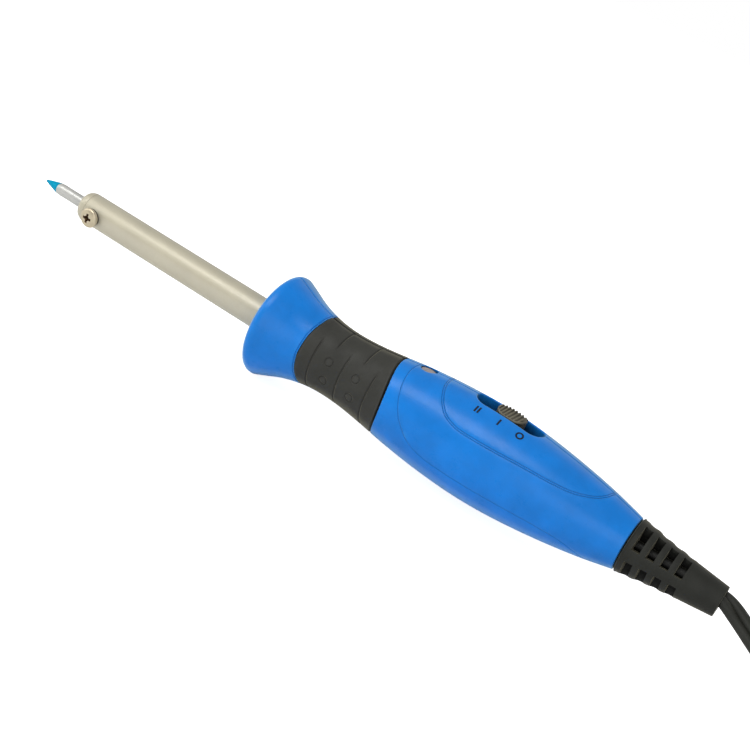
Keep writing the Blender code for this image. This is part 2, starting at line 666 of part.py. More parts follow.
def build_wiring():
    """Heater leads, their crimp joints, the switch wire and the cable's two cores."""
    live, neutral = -LEAD_OFFSET, LEAD_OFFSET
    for pole, y in (("live", live), ("neutral", neutral)):
        lead = [(LEAD_START, y, 0.0), (CRIMP[0] + 1.5 * MM, y, 0.0)]
        sweep("heater_lead_" + pole, lead, round_section(LEAD_R, 6), "resistance_wire")
        sleeve = tube("crimp_" + pole, *CRIMP, CORE_R + 0.1 * MM, CRIMP_R, "brass", 12)
        sleeve.location = (0.0, y, 0.0)
    insulated = round_section(CORE_R, 8)
    sweep("switch_wire", wire_down(live, SWITCH_X - SWITCH_STEP), insulated, "brown_insulation")
    to_contact = [(SWITCH_X + SWITCH_STEP, live, WIRE_FLOOR)] + wire_up(live)
    sweep("cable_core_live", to_contact, insulated, "brown_insulation")
    straight_past = wire_down(neutral, SWITCH_X - SWITCH_STEP) + wire_up(neutral)
    sweep("cable_core_neutral", straight_past, insulated, "black_plastic")


# ---------------------------------------------------------------- cable, boot, clamp and plug

def cable_path():
    """Up to the boot's bore, out and down towards the bench, and into the back of the plug."""
    low = CABLE_LOW - AXIS_HEIGHT
    bore_x, rise_x = SHELL_REAR - 7 * MM, SHELL_REAR - 14.5 * MM
    bend_x, exit_x = BOOT_REAR - 6.6 * MM, BOOT_REAR + 0.9 * MM
    low_x = BOOT_REAR + 38.4 * MM
    exit_z, exit_slope = 0.85 * MM, -0.267
    rise = ((rise_x, 0.0), (rise_x + 3.5 * MM, 0.0), (bore_x - 3.5 * MM, CABLE_RISE),
            (bore_x, CABLE_RISE))
    bend = ((bend_x, CABLE_RISE), (bend_x + 3 * MM, CABLE_RISE),
            (exit_x - 2.5 * MM, exit_z - 2.5 * MM * exit_slope), (exit_x, exit_z))
    down = ((exit_x, exit_z), (exit_x + 7 * MM, exit_z + 7 * MM * exit_slope),
            (low_x - 14 * MM, low), (low_x, low))
    up = ((low_x, low), (low_x + 6 * MM, low), (PLUG_REAR - 7 * MM, PLUG_DROP), (PLUG_REAR, PLUG_DROP))
    path = [Vector((CORE_START + GAP, 0.0, 0.0)), Vector((rise_x, 0.0, 0.0))]
    for corners, steps in ((rise, 4), (bend, 4), (down, 10), (up, 6)):
        if corners is bend:
            path.append(Vector((bend_x, 0.0, CABLE_RISE)))
        path += bezier([(x, 0.0, z) for x, z in corners], steps)
    return path + [Vector((PLUG_REAR + 16 * MM, 0.0, PLUG_DROP))]


def cable_section(clearance=0.0):
    return capsule_ring(CABLE_WIDTH + 2 * clearance, CABLE_THICK + 2 * clearance, 5)


def boot_windows():
    """Rings of four openings, cut through the boot to the cable."""
    bm = bmesh.new()
    steps = 6
    outside = 11.0 * MM
    for ring in range(WINDOW_RINGS):
        x = WINDOW_FIRST + ring * WINDOW_PITCH
        ends_x = (x - WINDOW_WIDTH / 2, x + WINDOW_WIDTH / 2)
        for quarter in range(4):
            middle = math.pi / 4 + quarter * math.pi / 2
            outline = []
            for radius, half_angle in ((BOOT_CORE_R, WINDOW_HALF_ANGLE), (outside, -WINDOW_HALF_ANGLE)):
                angles = spaced(middle - half_angle, middle + half_angle, steps)
                outline += [(radius * math.sin(a), radius * math.cos(a)) for a in angles]
            ends = [[bm.verts.new((x_end, y, z)) for y, z in outline] for x_end in ends_x]
            for i in range(len(outline)):
                j = (i + 1) % len(outline)
                bm.faces.new((ends[0][i], ends[0][j], ends[1][j], ends[1][i]))
            bm.faces.new(ends[0])
            bm.faces.new(ends[1])
    return finish_object("windows", bm, None)


def build_boot():
    """Strain relief: a tapered rubber boot whose flange sits inside the shells' rear wall."""
    front = SHELL_REAR + GAP
    inside = SHELL_REAR - SHELL_WALL - GAP
    length, flange_r = BOOT_FLANGE
    outline = [(inside - length, 0.0), (inside - length, flange_r), (inside, flange_r),
               (inside, BOOT_NECK_R), (front, BOOT_NECK_R)]
    outline += [(x, boot_radius(x)) for x in spaced(front, BOOT_REAR - BOOT_EDGE, 10)]
    outline += [(BOOT_REAR, boot_radius(BOOT_REAR) - BOOT_EDGE), (BOOT_REAR, 0.0)]
    boot = lathe("strain_boot", outline, "black_rubber", 32)
    cut(boot, boot_windows())
    cut(boot, sweep("bore", cable_path(), cable_section(GAP), None))


def build_clamp():
    """Steel bridge that holds the cable against two posts of the left shell."""
    half_x, half_z = CLAMP_HALF
    low_y, high_y = CLAMP_PLATE_Y
    plate = box("cord_clamp", (CLAMP_X - half_x, low_y, -half_z), (CLAMP_X + half_x, high_y, half_z),
                "satin_steel")
    for name, z in zip(("clamp_screw_low", "clamp_screw_high"), CLAMP_SCREW_Z):
        at = (CLAMP_X, 0.0, z)
        cut(plate, rod("hole", 0.0, 2 * high_y, CLAMP_SHANK_R + GAP, None, 12, at, "Y"))
        reach = (high_y + GAP, CLAMP_SCREW_END)
        pan_screw(name, (CLAMP_X, z), reach, CLAMP_SHANK_R, (CLAMP_HEAD_R, 1.1 * MM), 1)


def rounded_rectangle(width, height, radius, steps=3):
    points = []
    for corner, (sign_y, sign_z) in enumerate(((1, 1), (-1, 1), (-1, -1), (1, -1))):
        for i in range(steps + 1):
            angle = math.pi / 2 * (corner + i / steps)
            points.append((sign_y * (width / 2 - radius) + radius * math.cos(angle),
                           sign_z * (height / 2 - radius) + radius * math.sin(angle)))
    return points


def build_plug():
    """Flat two-pin plug, lying on its side with its pins level."""
    rings = []
    for back, width, height in PLUG_STATIONS:
        corner = min(height * 0.38, 3.2) * MM
        ring = rounded_rectangle(width * MM, height * MM, corner)
        rings.append([(PLUG_REAR + back * MM, y, PLUG_DROP + z) for y, z in ring])
    plug = loft("plug_body", rings, "black_rubber")
    ends = ((PLUG_REAR - 4 * MM, 0.0, PLUG_DROP), (PLUG_REAR + 16 * MM + GAP, 0.0, PLUG_DROP))
    cut(plug, sweep("bore", ends, cable_section(GAP), None))
    for name, side in (("left", -1), ("right", 1)):
        at = (0.0, side * PIN_SPACING / 2, PLUG_DROP)
        cut(plug, rod("bore", PIN_ROOT - GAP, PIN_END, PIN_R + GAP, None, 16, at))
        outline = [(PIN_ROOT, 0.0), (PIN_ROOT, PIN_SHAFT_R), (PIN_BARE, PIN_SHAFT_R)]
        outline += domed(PIN_BARE, PIN_END - PIN_R, PIN_R, PIN_R, 4)[1:]
        lathe("plug_pin_" + name, outline, "brass", 16, at)
        sleeve = tube("pin_sleeve_" + name, PIN_ROOT + GAP, PIN_BARE - GAP, *SLEEVE_R, "black_plastic", 16)
        sleeve.location = at


# ---------------------------------------------------------------- assembly

def empty(name, location, parent=None):
    made = bpy.data.objects.new(name, None)
    made.location = location
    made.parent = parent
    bpy.context.scene.collection.objects.link(made)
    return made


def assemble():
    """Set the tool on the bench and hang each moving piece on its joint's own empty."""
    tool_axis = empty("tool_axis", (-PIN_END / 2, 0.0, AXIS_HEIGHT))
    groups = {
        "switch_slide_axis": ((SWITCH_X, 0.0, PLATE_TOP),
                              ("switch_knob", "switch_slider", "contact_bridge")),
        "tip_slide_axis": ((TIP_REAR, 0.0, 0.0), ("tip",)),
        "tip_screw_axis": ((TIP_SCREW_X, 0.0, 0.0), ("tip_screw", "lock_washer")),
    }
    moving = {}
    for name, (location, members) in groups.items():
        holder = empty(name, location, tool_axis)
        for member in members:
            moving[member] = holder
    for obj in bpy.data.objects:
        if obj.type != "MESH":
            continue
        holder = moving.get(obj.name)
        obj.parent = holder or tool_axis
        if holder:
            obj.location -= holder.location


clear_scene()
build_handle()
build_tip()
build_barrel()
build_tip_screw()
build_heater()
build_switch()
build_lamp()
build_wiring()
sweep("mains_cable", cable_path(), cable_section(), "black_rubber")
build_boot()
build_clamp()
build_plug()
assemble()
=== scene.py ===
"""Looks of the mains soldering iron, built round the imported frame.

Everything is drawn in the tool's own millimetres (x from the point of the tip, y and z from the
long axis) and placed in the frame by place(). Angles on the handle are counted from the top,
down towards either side.
"""
import json
import math

import bmesh
import bpy
import numpy as np
from mathutils import Matrix, Vector
from mathutils.geometry import delaunay_2d_cdt


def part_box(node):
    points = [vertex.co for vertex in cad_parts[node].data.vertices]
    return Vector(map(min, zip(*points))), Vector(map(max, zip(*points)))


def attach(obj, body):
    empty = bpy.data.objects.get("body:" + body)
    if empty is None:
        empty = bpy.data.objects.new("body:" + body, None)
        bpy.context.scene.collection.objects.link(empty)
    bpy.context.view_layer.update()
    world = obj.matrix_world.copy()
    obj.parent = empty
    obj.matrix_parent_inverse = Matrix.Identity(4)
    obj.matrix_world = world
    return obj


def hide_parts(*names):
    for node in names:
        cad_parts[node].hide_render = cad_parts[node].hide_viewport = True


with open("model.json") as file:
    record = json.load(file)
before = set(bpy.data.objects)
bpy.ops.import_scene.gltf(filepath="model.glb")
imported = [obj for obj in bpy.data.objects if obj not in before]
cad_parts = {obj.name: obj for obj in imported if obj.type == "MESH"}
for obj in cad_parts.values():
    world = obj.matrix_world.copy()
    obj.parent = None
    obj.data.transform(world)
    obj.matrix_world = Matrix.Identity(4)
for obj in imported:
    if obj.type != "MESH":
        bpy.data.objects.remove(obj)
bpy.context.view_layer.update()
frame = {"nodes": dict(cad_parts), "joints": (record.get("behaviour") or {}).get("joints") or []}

MM = 0.001
TAU = 2 * math.pi

# ------------------------------------------------------------------ places, from the frame


def span(node):
    """Lowest and highest corner of a CAD node, in the tool's millimetres."""
    low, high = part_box(node)
    return (np.array(low) - ORIGIN) / MM, (np.array(high) - ORIGIN) / MM


def reach(node):
    """Front and rear end of a CAD node along the tool."""
    low, high = span(node)
    return low[0], high[0]


def middle(node, axis):
    """Middle of a CAD node along an axis of the tool."""
    low, high = span(node)
    return (low[axis] + high[axis]) / 2


barrel_low, barrel_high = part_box("barrel")
ORIGIN = np.array((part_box("tip")[0].x, 0.0, (barrel_low.z + barrel_high.z) / 2))

TUBE_R = (barrel_high.z - barrel_low.z) / 2 / MM
TUBE_FRONT, TUBE_REAR = reach("barrel")
NOSE_FRONT = reach("nose_collar")[0]
TIP_R = span("tip")[1][1]
TIP_REAR = reach("tip")[1]
SHELL_FRONT, SHELL_REAR = reach("shell_left")
SHELL_END = SHELL_REAR + 0.5
BOOT_FRONT_INSIDE, BOOT_REAR = reach("strain_boot")
LAMP_X = middle("light_window", 0)
SWITCH_X = middle("switch_knob", 0)
TIP_SCREW_X = middle("tip_screw", 0)
PLUG_REAR, PLUG_FACE = reach("plug_body")
PLUG_Z = middle("plug_body", 2)
PLUG_HEIGHT = span("plug_body")[1][2] - span("plug_body")[0][2]
PLUG_WIDTH = 2 * span("plug_body")[1][1]
PIN_Y = middle("plug_pin_right", 1)
PIN_END = reach("plug_pin_right")[1]

# Outline of the handle and the boot: (distance from the tip, radius)
HANDLE_OUTLINE = (
    (96.85, 16.21), (100.2, 14.8), (104.5, 13.0), (109.0, 11.68), (113.8, 10.8), (119.5, 10.47),
    (126.5, 10.8), (134.0, 11.7), (143.0, 12.98), (155.0, 14.14), (167.5, 14.64), (179.0, 14.2),
    (192.5, 12.7), (206.0, 10.45), (216.85, 7.97),
)
BOOT_OUTLINE = (
    (216.3, 8.3), (221.0, 7.52), (226.0, 6.63), (233.0, 5.8), (239.0, 5.15), (244.6, 4.55),
)
GUARD_R = 16.4
LIP_R = 2.0
LIP_END = math.radians(65)

# Lines moulded into the blue shells: (distance from the tip, degrees from the top)
OVAL_LINE = (
    (141.2, 3), (141.0, 19), (141.4, 36), (142.2, 51), (143.2, 63), (144.7, 76), (146.6, 88),
    (148.7, 97), (151.3, 106), (154.6, 112), (158.2, 114.5), (165.4, 115), (182.0, 115),
    (195.3, 118), (200.5, 122), (204.4, 130), (207.5, 143), (209.6, 160), (210.3, 177),
)
PANEL_LINE = (
    (151.5, 3), (151.9, 16), (152.9, 29), (154.2, 39), (155.9, 48), (157.8, 55), (159.9, 59),
    (162.2, 61.5), (166.5, 62.5), (172.0, 62), (182.8, 59), (193.3, 55), (197.2, 52),
    (201.0, 45), (204.0, 35), (205.8, 22), (206.7, 5),
)
# Grooves across the grip pads: (distance from the tip, first and last degree)
GRIP_GROOVES = (
    (114.2, 44, 177), (124.1, 44, 177), (134.1, 47, 177), (119.2, 2.5, 53), (128.9, 2.5, 54),
)
GRIP_PIPS = ((119.4, 77), (119.8, 109), (129.2, 77), (129.5, 108))

SLOT_LENGTH = 22.3
SLOT_WIDTH = 8.3
LENS_HOLE_R = 2.7
SCREW_SITES = ((101.0, -8.8), (147.0, -8.2), (192.0, -7.4))
SCREW_BORE_R = 2.5

# ------------------------------------------------------------------ curves and surfaces


def smooth_outline(stations, step):
    """Points about step apart along a smooth curve through the stations."""
    points = [stations[0]]
    slopes = []
    for i in range(len(stations)):
        a, b = max(i - 1, 0), min(i + 1, len(stations) - 1)
        slopes.append((stations[b][1] - stations[a][1]) / (stations[b][0] - stations[a][0]))
    for i in range(len(stations) - 1):
        (x0, r0), (x1, r1) = stations[i], stations[i + 1]
        length = x1 - x0
        count = max(2, round(math.hypot(length, r1 - r0) / step))
        for k in range(1, count + 1):
            t = k / count
            rise = t * t * (3 - 2 * t)
            swell = slopes[i] * t * (1 - t) ** 2 - slopes[i + 1] * t * t * (1 - t)
            points.append((x0 + t * length, r0 * (1 - rise) + r1 * rise + swell * length))
    return points


def steps(first, last, count):
    """Numbers in equal steps from first to last, both included."""
    return [first + (last - first) * k / count for k in range(count + 1)]


def arc(x, r, radius, start, end, count):
    """Points on an arc in the (x, r) plane, angles in radians."""
    turns = steps(start, end, count)
    return [(x + radius * math.cos(turn), r + radius * math.sin(turn)) for turn in turns]


def straight(start, end, step):
    """Points about step apart on a straight line."""
    count = max(1, round(math.dist(start, end) / step))
    return list(zip(steps(start[0], end[0], count), steps(start[1], end[1], count)))


class Profile:
    """A turned outline, read by the length walked along it."""

    def __init__(self, points):
        kept = [points[0]]
        for point in points[1:]:
            if math.dist(point, kept[-1]) > 1e-6:
                kept.append(point)
        self.x, self.r = np.array(kept).T
        walked = np.hypot(np.diff(self.x), np.diff(self.r))
        self.u = np.concatenate(([0.0], np.cumsum(walked)))
        self.nx = -np.gradient(self.r, self.u)
        self.nr = np.gradient(self.x, self.u)
        self.end = self.u[-1]

    def at(self, u):
        """Distance from the tip and radius at a length."""
        return np.interp(u, self.u, self.x), np.interp(u, self.u, self.r)

    def normal(self, u):
        nx, nr = np.interp(u, self.u, self.nx), np.interp(u, self.u, self.nr)
        size = np.hypot(nx, nr)
        return nx / size, nr / size

    def from_x(self, x):
        """Length walked to a distance from the tip, on the part that runs backwards."""
        start = int(np.argmax(self.r[: len(self.r) * 2 // 3]))
        return np.interp(x, self.x[start:], self.u[start:])

    def radius(self, x):
        """Radius at a distance from the tip, on the part that runs backwards."""
        return self.at(self.from_x(x))[1]

    def point(self, u, angle, side, sink=0.0):
        """Place on the surface, or a sink below it, at a length and an angle from the top."""
        x, r = self.at(u)
        nx, nr = self.normal(u)
        x = x - sink * nx
        r = r - sink * nr
        return np.stack((x + 0 * angle, side * r * np.sin(angle), r * np.cos(angle)), axis=-1)


def fillet(distance, radius):
    """How far a rounded edge falls away, this far in from the edge."""
    inside = np.clip(radius - distance, 0, radius)
    return radius - np.sqrt(radius ** 2 - inside ** 2)


def groove(distance, half_width, depth):
    """Depth of a soft groove, this far from its middle."""
    return depth * (1 + np.cos(np.pi * np.clip(distance / half_width, 0, 1))) / 2


def to_polyline(points, line):
    """Distance of each point from a line of points."""
    a, b = line[:-1], line[1:]
    along = b - a
    length2 = np.maximum((along ** 2).sum(axis=1), 1e-12)
    best = np.full(len(points), 1e9)
    for start, step, size2 in zip(a, along, length2):
        t = np.clip(((points - start) @ step) / size2, 0, 1)
        gap = points - (start + t[:, None] * step)
        best = np.minimum(best, np.sqrt((gap ** 2).sum(axis=1)))
    return best


MEAN_R = 13


def refine(stations, step):
    """A smooth, evenly stepped path through (distance, degrees) stations."""
    path = np.array(stations, float)
    size = np.hypot(np.diff(path[:, 0]), np.diff(np.radians(path[:, 1])) * MEAN_R)
    t = np.concatenate(([0.0], np.cumsum(size)))
    tangent = np.gradient(path, t, axis=0)
    out = []
    for i in range(len(path) - 1):
        width = t[i + 1] - t[i]
        count = max(1, round(width / step))
        for k in range(count):
            s = k / count
            h = np.array((2 * s ** 3 - 3 * s ** 2 + 1, s ** 3 - 2 * s ** 2 + s,
                          3 * s ** 2 - 2 * s ** 3, s ** 3 - s ** 2))
            out.append(h[0] * path[i] + h[1] * width * tangent[i]
                       + h[2] * path[i + 1] + h[3] * width * tangent[i + 1])
    out.append(path[-1])
    return np.array(out)


# ------------------------------------------------------------------ meshes


def place(points):
    """Tool millimetres to metres in the frame."""
    return np.asarray(points, float) * MM + ORIGIN


def new_piece(name, verts, faces, material, body, normals=None):
    """A piece from points in the tool's millimetres. normals has one vector per face corner."""
    mesh = bpy.data.meshes.new(name)
    mesh.from_pydata([tuple(v) for v in place(verts)], [], [tuple(map(int, f)) for f in faces])
    mesh.polygons.foreach_set("use_smooth", [True] * len(mesh.polygons))
    mesh.update()
    if normals is not None:
        mesh.normals_split_custom_set([tuple(n) for n in normals])
    piece = bpy.data.objects.new(name, mesh)
    bpy.context.scene.collection.objects.link(piece)
    mesh.materials.append(material)
    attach(piece, body)
    return piece


def unit(vectors):
    size = np.linalg.norm(vectors, axis=-1, keepdims=True)
    return vectors / np.maximum(size, 1e-12)


ANGLE_SCALE = 12.0


def triangulate(border, inner, lines):
    """Triangles inside a closed border that follow the given lines, as arrays."""
    def stretched(points):
        return [Vector((float(u), float(a) * ANGLE_SCALE)) for u, a in points]

    coords = stretched(border)
    edges = []
    for line in lines:
        first = len(coords)
        coords += stretched(line)
        edges.extend((first + k, first + k + 1) for k in range(len(line) - 1))
    coords += stretched(inner)
    result = delaunay_2d_cdt(coords, edges, [list(range(len(border)))], 1, 1e-5)
    flat = np.array([tuple(v) for v in result[0]])
    faces = np.array([tuple(f) for f in result[2]])
    a, b, c = (flat[faces[:, k]] for k in range(3))
    area = (b[:, 0] - a[:, 0]) * (c[:, 1] - a[:, 1]) - (b[:, 1] - a[:, 1]) * (c[:, 0] - a[:, 0])
    faces[area < 0] = faces[area < 0][:, ::-1]
    used = np.unique(faces)
    index = np.full(len(flat), -1)
    index[used] = np.arange(len(used))
    flat = flat[used]
    flat[:, 1] /= ANGLE_SCALE
    return flat, index[faces]


def rim(faces):
    """The one loop of corners round a set of triangles, in their own turning direction."""
    seen = set()
    for a, b, c in faces:
        seen.update(((a, b), (b, c), (c, a)))
    follow = {a: b for a, b in seen if (b, a) not in seen}
    first = min(follow)
    loop = [first]
    while follow[loop[-1]] != first:
        loop.append(follow[loop[-1]])
    return loop


def lattice(profile, side, spacing, ends, edge, lines, clear):
    """Evenly spread (length, angle) points over half a turned surface, clear of the lines."""
    start, end = ends
    points = []
    rows = max(2, round((end - start) / spacing))
    for i in range(1, rows):
        u = start + (end - start) * i / rows
        radius = float(profile.at(u)[1])
        count = max(3, round(math.pi * radius / spacing))
        for k in range(count):
            angle = math.pi * (k + (0.25 if i % 2 else 0.75)) / count
            if edge < radius * angle < math.pi * radius - edge:
                points.append((u, angle))
    points = np.array(points)
    where = profile.point(*points.T, side)
    for line in lines:
        gap = to_polyline(where, profile.point(*line.T, side))
        points, where = points[gap > clear], where[gap > clear]
    return points


def offset_line(profile, line, distance):
    """A (length, angle) line moved sideways over the surface."""
    radius = profile.at(line[:, 0])[1]
    du = np.gradient(line[:, 0])
    da = np.gradient(line[:, 1]) * radius
    size = np.hypot(du, da)
    return np.stack((line[:, 0] - distance * da / size,
                     line[:, 1] + distance * du / size / radius), axis=1)


NUDGE = 0.02
FINE_EDGE = 0.35
UNDER_SPACING = 3.2
UNDER_EDGE = 1.2
UNDER_CLEAR = 1.4


def slope_normals(profile, side, surface, u, angle):
    """Normals of a surface, from small steps along it and round it."""
    turn = NUDGE / profile.at(u)[1]
    along = surface(u + NUDGE, angle) - surface(u - NUDGE, angle)
    across = surface(u, angle + turn) - surface(u, angle - turn)
    return unit(np.cross(along, across)) * side


def skin(name, side, profile, border, rows, surface, underside, material, spacing=0.9,
         clear=0.4):
    """One closed moulded half: a fine outer surface, a plain inner one and the walls between."""
    ends = border[:, 0].min(), border[:, 0].max()
    lines = [row for row in rows if len(row) > 1]
    closed = np.vstack((border, border[:1]))
    fine = lattice(profile, side, spacing, ends, FINE_EDGE, [*lines, closed], clear)
    flat, faces = triangulate(border, fine, lines)
    outer = surface(*flat.T)
    outer_normals = slope_normals(profile, side, surface, *flat.T)

    loop = rim(faces)
    ring = flat[loop]
    coarse = lattice(profile, side, UNDER_SPACING, ends, UNDER_EDGE, [np.vstack((ring, ring[:1]))],
                     UNDER_CLEAR)
    flat_in, faces_in = triangulate(ring, coarse, [])
    below = {(round(u, 5), round(a, 5)): k for k, (u, a) in enumerate(flat_in)}
    count = len(outer)
    loop_in = [count + below[(round(u, 5), round(a, 5))] for u, a in ring]
    verts = np.vstack((outer, underside(*flat_in.T)))

    tris = faces if side > 0 else faces[:, ::-1]
    tris_in = (faces_in[:, ::-1] if side > 0 else faces_in) + count
    p, q, r = (verts[tris_in[:, k]] for k in range(3))
    normals = [outer_normals[k] for k in tris.flatten()]
    normals.extend(np.repeat(unit(np.cross(q - p, r - p)), 3, axis=0))
    walls = []
    for a, b, c, d in zip(loop, loop[1:] + loop[:1], loop_in[1:] + loop_in[:1], loop_in):
        wall = (b, a, d, c) if side > 0 else (a, b, c, d)
        walls.append(wall)
        corners = verts[list(wall)]
        normals.extend([unit(np.cross(corners[2] - corners[0], corners[3] - corners[1]))] * 4)
    every = [tuple(f) for f in (*tris, *tris_in)] + walls
    piece = new_piece(name, verts, every, material, "handle", normals)
    return piece


# ------------------------------------------------------------------ materials


def linear(colour):
    """0-255 display colour to linear light."""
    out = []
    for c in colour:
        c /= 255
        out.append(c / 12.92 if c <= 0.04045 else ((c + 0.055) / 1.055) ** 2.4)
    return (*out, 1.0)


class Nodes:
    """Small helper round a material's node tree."""

    def __init__(self, name):
        self.material = bpy.data.materials.new(name)
        self.material.use_nodes = True
        self.tree = self.material.node_tree
        self.bsdf = self.tree.nodes["Principled BSDF"]
        self.coord = self.add("ShaderNodeTexCoord").outputs["Object"]

    def add(self, kind, **values):
        node = self.tree.nodes.new(kind)
        for key, value in values.items():
            setattr(node, key, value)
        return node

    def link(self, output, target):
        self.tree.links.new(output, target)

    def noise(self, size_mm, detail, stretch=None):
        """Noise whose blobs are about size_mm across; stretch scales x, y and z."""
        source = self.coord
        if stretch:
            mapping = self.add("ShaderNodeMapping")
            mapping.inputs["Scale"].default_value = stretch
            self.link(source, mapping.inputs["Vector"])
            source = mapping.outputs["Vector"]
        node = self.add("ShaderNodeTexNoise")
        node.inputs["Scale"].default_value = 1 / (size_mm * MM)
        node.inputs["Detail"].default_value = detail
        node.inputs["Roughness"].default_value = 0.55
        self.link(source, node.inputs["Vector"])
        return node.outputs["Fac"]

    def spread(self, value, low, high, from_low=0.3, from_high=0.7):
        """A value mapped from one range to another, and held at its ends."""
        node = self.add("ShaderNodeMapRange")
        node.inputs["From Min"].default_value = from_low
        node.inputs["From Max"].default_value = from_high
        node.inputs["To Min"].default_value = low
        node.inputs["To Max"].default_value = high
        self.link(value, node.inputs["Value"])
        return node.outputs["Result"]

    def mix(self, factor, a, b):
        node = self.add("ShaderNodeMix", data_type="RGBA")
        for socket, value in ((node.inputs[0], factor), (node.inputs[6], a), (node.inputs[7], b)):
            if isinstance(value, (int, float, tuple)):
                socket.default_value = value
            else:
                self.link(value, socket)
        return node.outputs[2]

    def math(self, operation, a, b):
        node = self.add("ShaderNodeMath", operation=operation)
        for socket, value in zip(node.inputs, (a, b)):
            if isinstance(value, (int, float)):
                socket.default_value = value
            else:
                self.link(value, socket)
        return node.outputs["Value"]

    def edges(self, low=0.52, high=0.6):
        """Brighter where the surface is convex, for wear."""
        geometry = self.add("ShaderNodeNewGeometry")
        return self.spread(geometry.outputs["Pointiness"], 0.0, 1.0, low, high)

    def painted_crevice_shade(self, reach_mm, amount, shut=0.25, clear=0.95):
        """Painted shade, darker where the surface is closed in by its neighbours."""
        node = self.add("ShaderNodeAmbientOcclusion", samples=6)
        node.inputs["Distance"].default_value = reach_mm * MM
        return self.spread(node.outputs["AO"], amount, 0.0, shut, clear)

    def grazing(self, amount):
        """Rises to the given amount where the surface turns away from the eye."""
        node = self.add("ShaderNodeLayerWeight")
        node.inputs["Blend"].default_value = 0.5
        return self.spread(node.outputs["Facing"], 0.0, amount, 0.5, 1.0)

    def above(self, low_mm, high_mm):
        """0 near the bench, rising to 1 between two heights."""
        split = self.add("ShaderNodeSeparateXYZ")
        self.link(self.coord, split.inputs[0])
        return self.spread(split.outputs["Z"], 0.0, 1.0, low_mm * MM, high_mm * MM)

    def bump(self, height, distance_mm, strength=1.0, over=None):
        """Normals roughened by a height, on top of other bumps if given."""
        node = self.add("ShaderNodeBump")
        node.inputs["Strength"].default_value = strength
        node.inputs["Distance"].default_value = distance_mm * MM
        self.link(height, node.inputs["Height"])
        if over is not None:
            self.link(over, node.inputs["Normal"])
        return node.outputs["Normal"]

    def finish(self, colour, roughness, normal):
        self.link(colour, self.bsdf.inputs["Base Color"])
        self.link(roughness, self.bsdf.inputs["Roughness"])
        self.link(normal, self.bsdf.inputs["Normal"])
        return self.material


# Painted shade in deep hollows: reach in millimetres, range of openness, and heights over the bench
HOLLOW_REACH = 9.0
HOLLOW_OPEN = (0.26, 0.5)
HOLLOW_HEIGHTS = (4.0, 11.0)
WAVE_MM = 2.6
WAVE_DEPTH = 0.012
SHEEN_TINT = (226, 220, 196)
COAT_ROUGHNESS = 0.36
WORN_METAL = (0.95, 0.94, 0.92, 1)


def moulded(name, colour, shade=0.12, rough=(0.36, 0.48), grain_mm=0.16, grain_depth=0.004,
            wear=0.1, mottle_mm=9.0, specular=0.5, sheen=0.0, crevice_shade=0.5, crevice_shade_mm=1.2,
            shut=0.25, painted_reflection=None, painted_reflection_amount=0.0, hollow_shade_amount=0.93):
    """Moulded plastic or rubber: fine grain, faint clouds, worn edges, painted shade in creases and
    hollows, and a painted pale reflection where it turns away from the eye."""
    n = Nodes(name)
    dark = linear(tuple(c * (1 - shade) for c in colour))
    light = linear(tuple(min(255, c * (1 + shade * 0.5) + 3) for c in colour))
    clouds = n.noise(mottle_mm, 4.0)
    grain = n.noise(grain_mm, 2.0)
    tone = n.mix(n.spread(clouds, 0.0, 1.0), dark, light)
    speck = n.mix(n.spread(grain, 0.0, 0.35), tone, dark)
    edge = n.math("MULTIPLY", n.edges(), wear)
    pale = linear(tuple(min(255, c * 0.75 + 75) for c in colour))
    base = n.mix(edge, speck, pale)
    # Painted shade: a dark copy of the colour, laid into creases and grooves where they are closed in.
    painted_shade_colour = linear(tuple(c * 0.35 for c in colour))
    base = n.mix(n.painted_crevice_shade(crevice_shade_mm, crevice_shade, shut), base, painted_shade_colour)
    # Painted shade: deep hollows such as the switch slot turn nearly black, but not near the bench.
    painted_hollow_shade = n.math("MULTIPLY", n.painted_crevice_shade(HOLLOW_REACH, hollow_shade_amount, *HOLLOW_OPEN),
                    n.above(*HOLLOW_HEIGHTS))
    base = n.mix(painted_hollow_shade, base, linear(tuple(c * 0.12 for c in colour)))
    # Painted reflection: a pale tint where the surface turns away from the eye, for the bright
    # surroundings.
    if painted_reflection:
        base = n.mix(n.grazing(painted_reflection_amount), base, linear(painted_reflection))
    roughness = n.math("ADD", n.spread(n.noise(mottle_mm * 0.4, 3.0), *rough),
                       n.spread(grain, -0.03, 0.05))
    normal = n.bump(n.noise(WAVE_MM, 2.0), WAVE_DEPTH, 0.6)
    normal = n.bump(grain, grain_depth, 1.0, normal)
    n.bsdf.inputs["Specular IOR Level"].default_value = specular
    n.bsdf.inputs["Sheen Weight"].default_value = sheen
    n.bsdf.inputs["Sheen Roughness"].default_value = 0.35
    n.bsdf.inputs["Sheen Tint"].default_value = linear(SHEEN_TINT)
    return n.finish(base, roughness, normal)


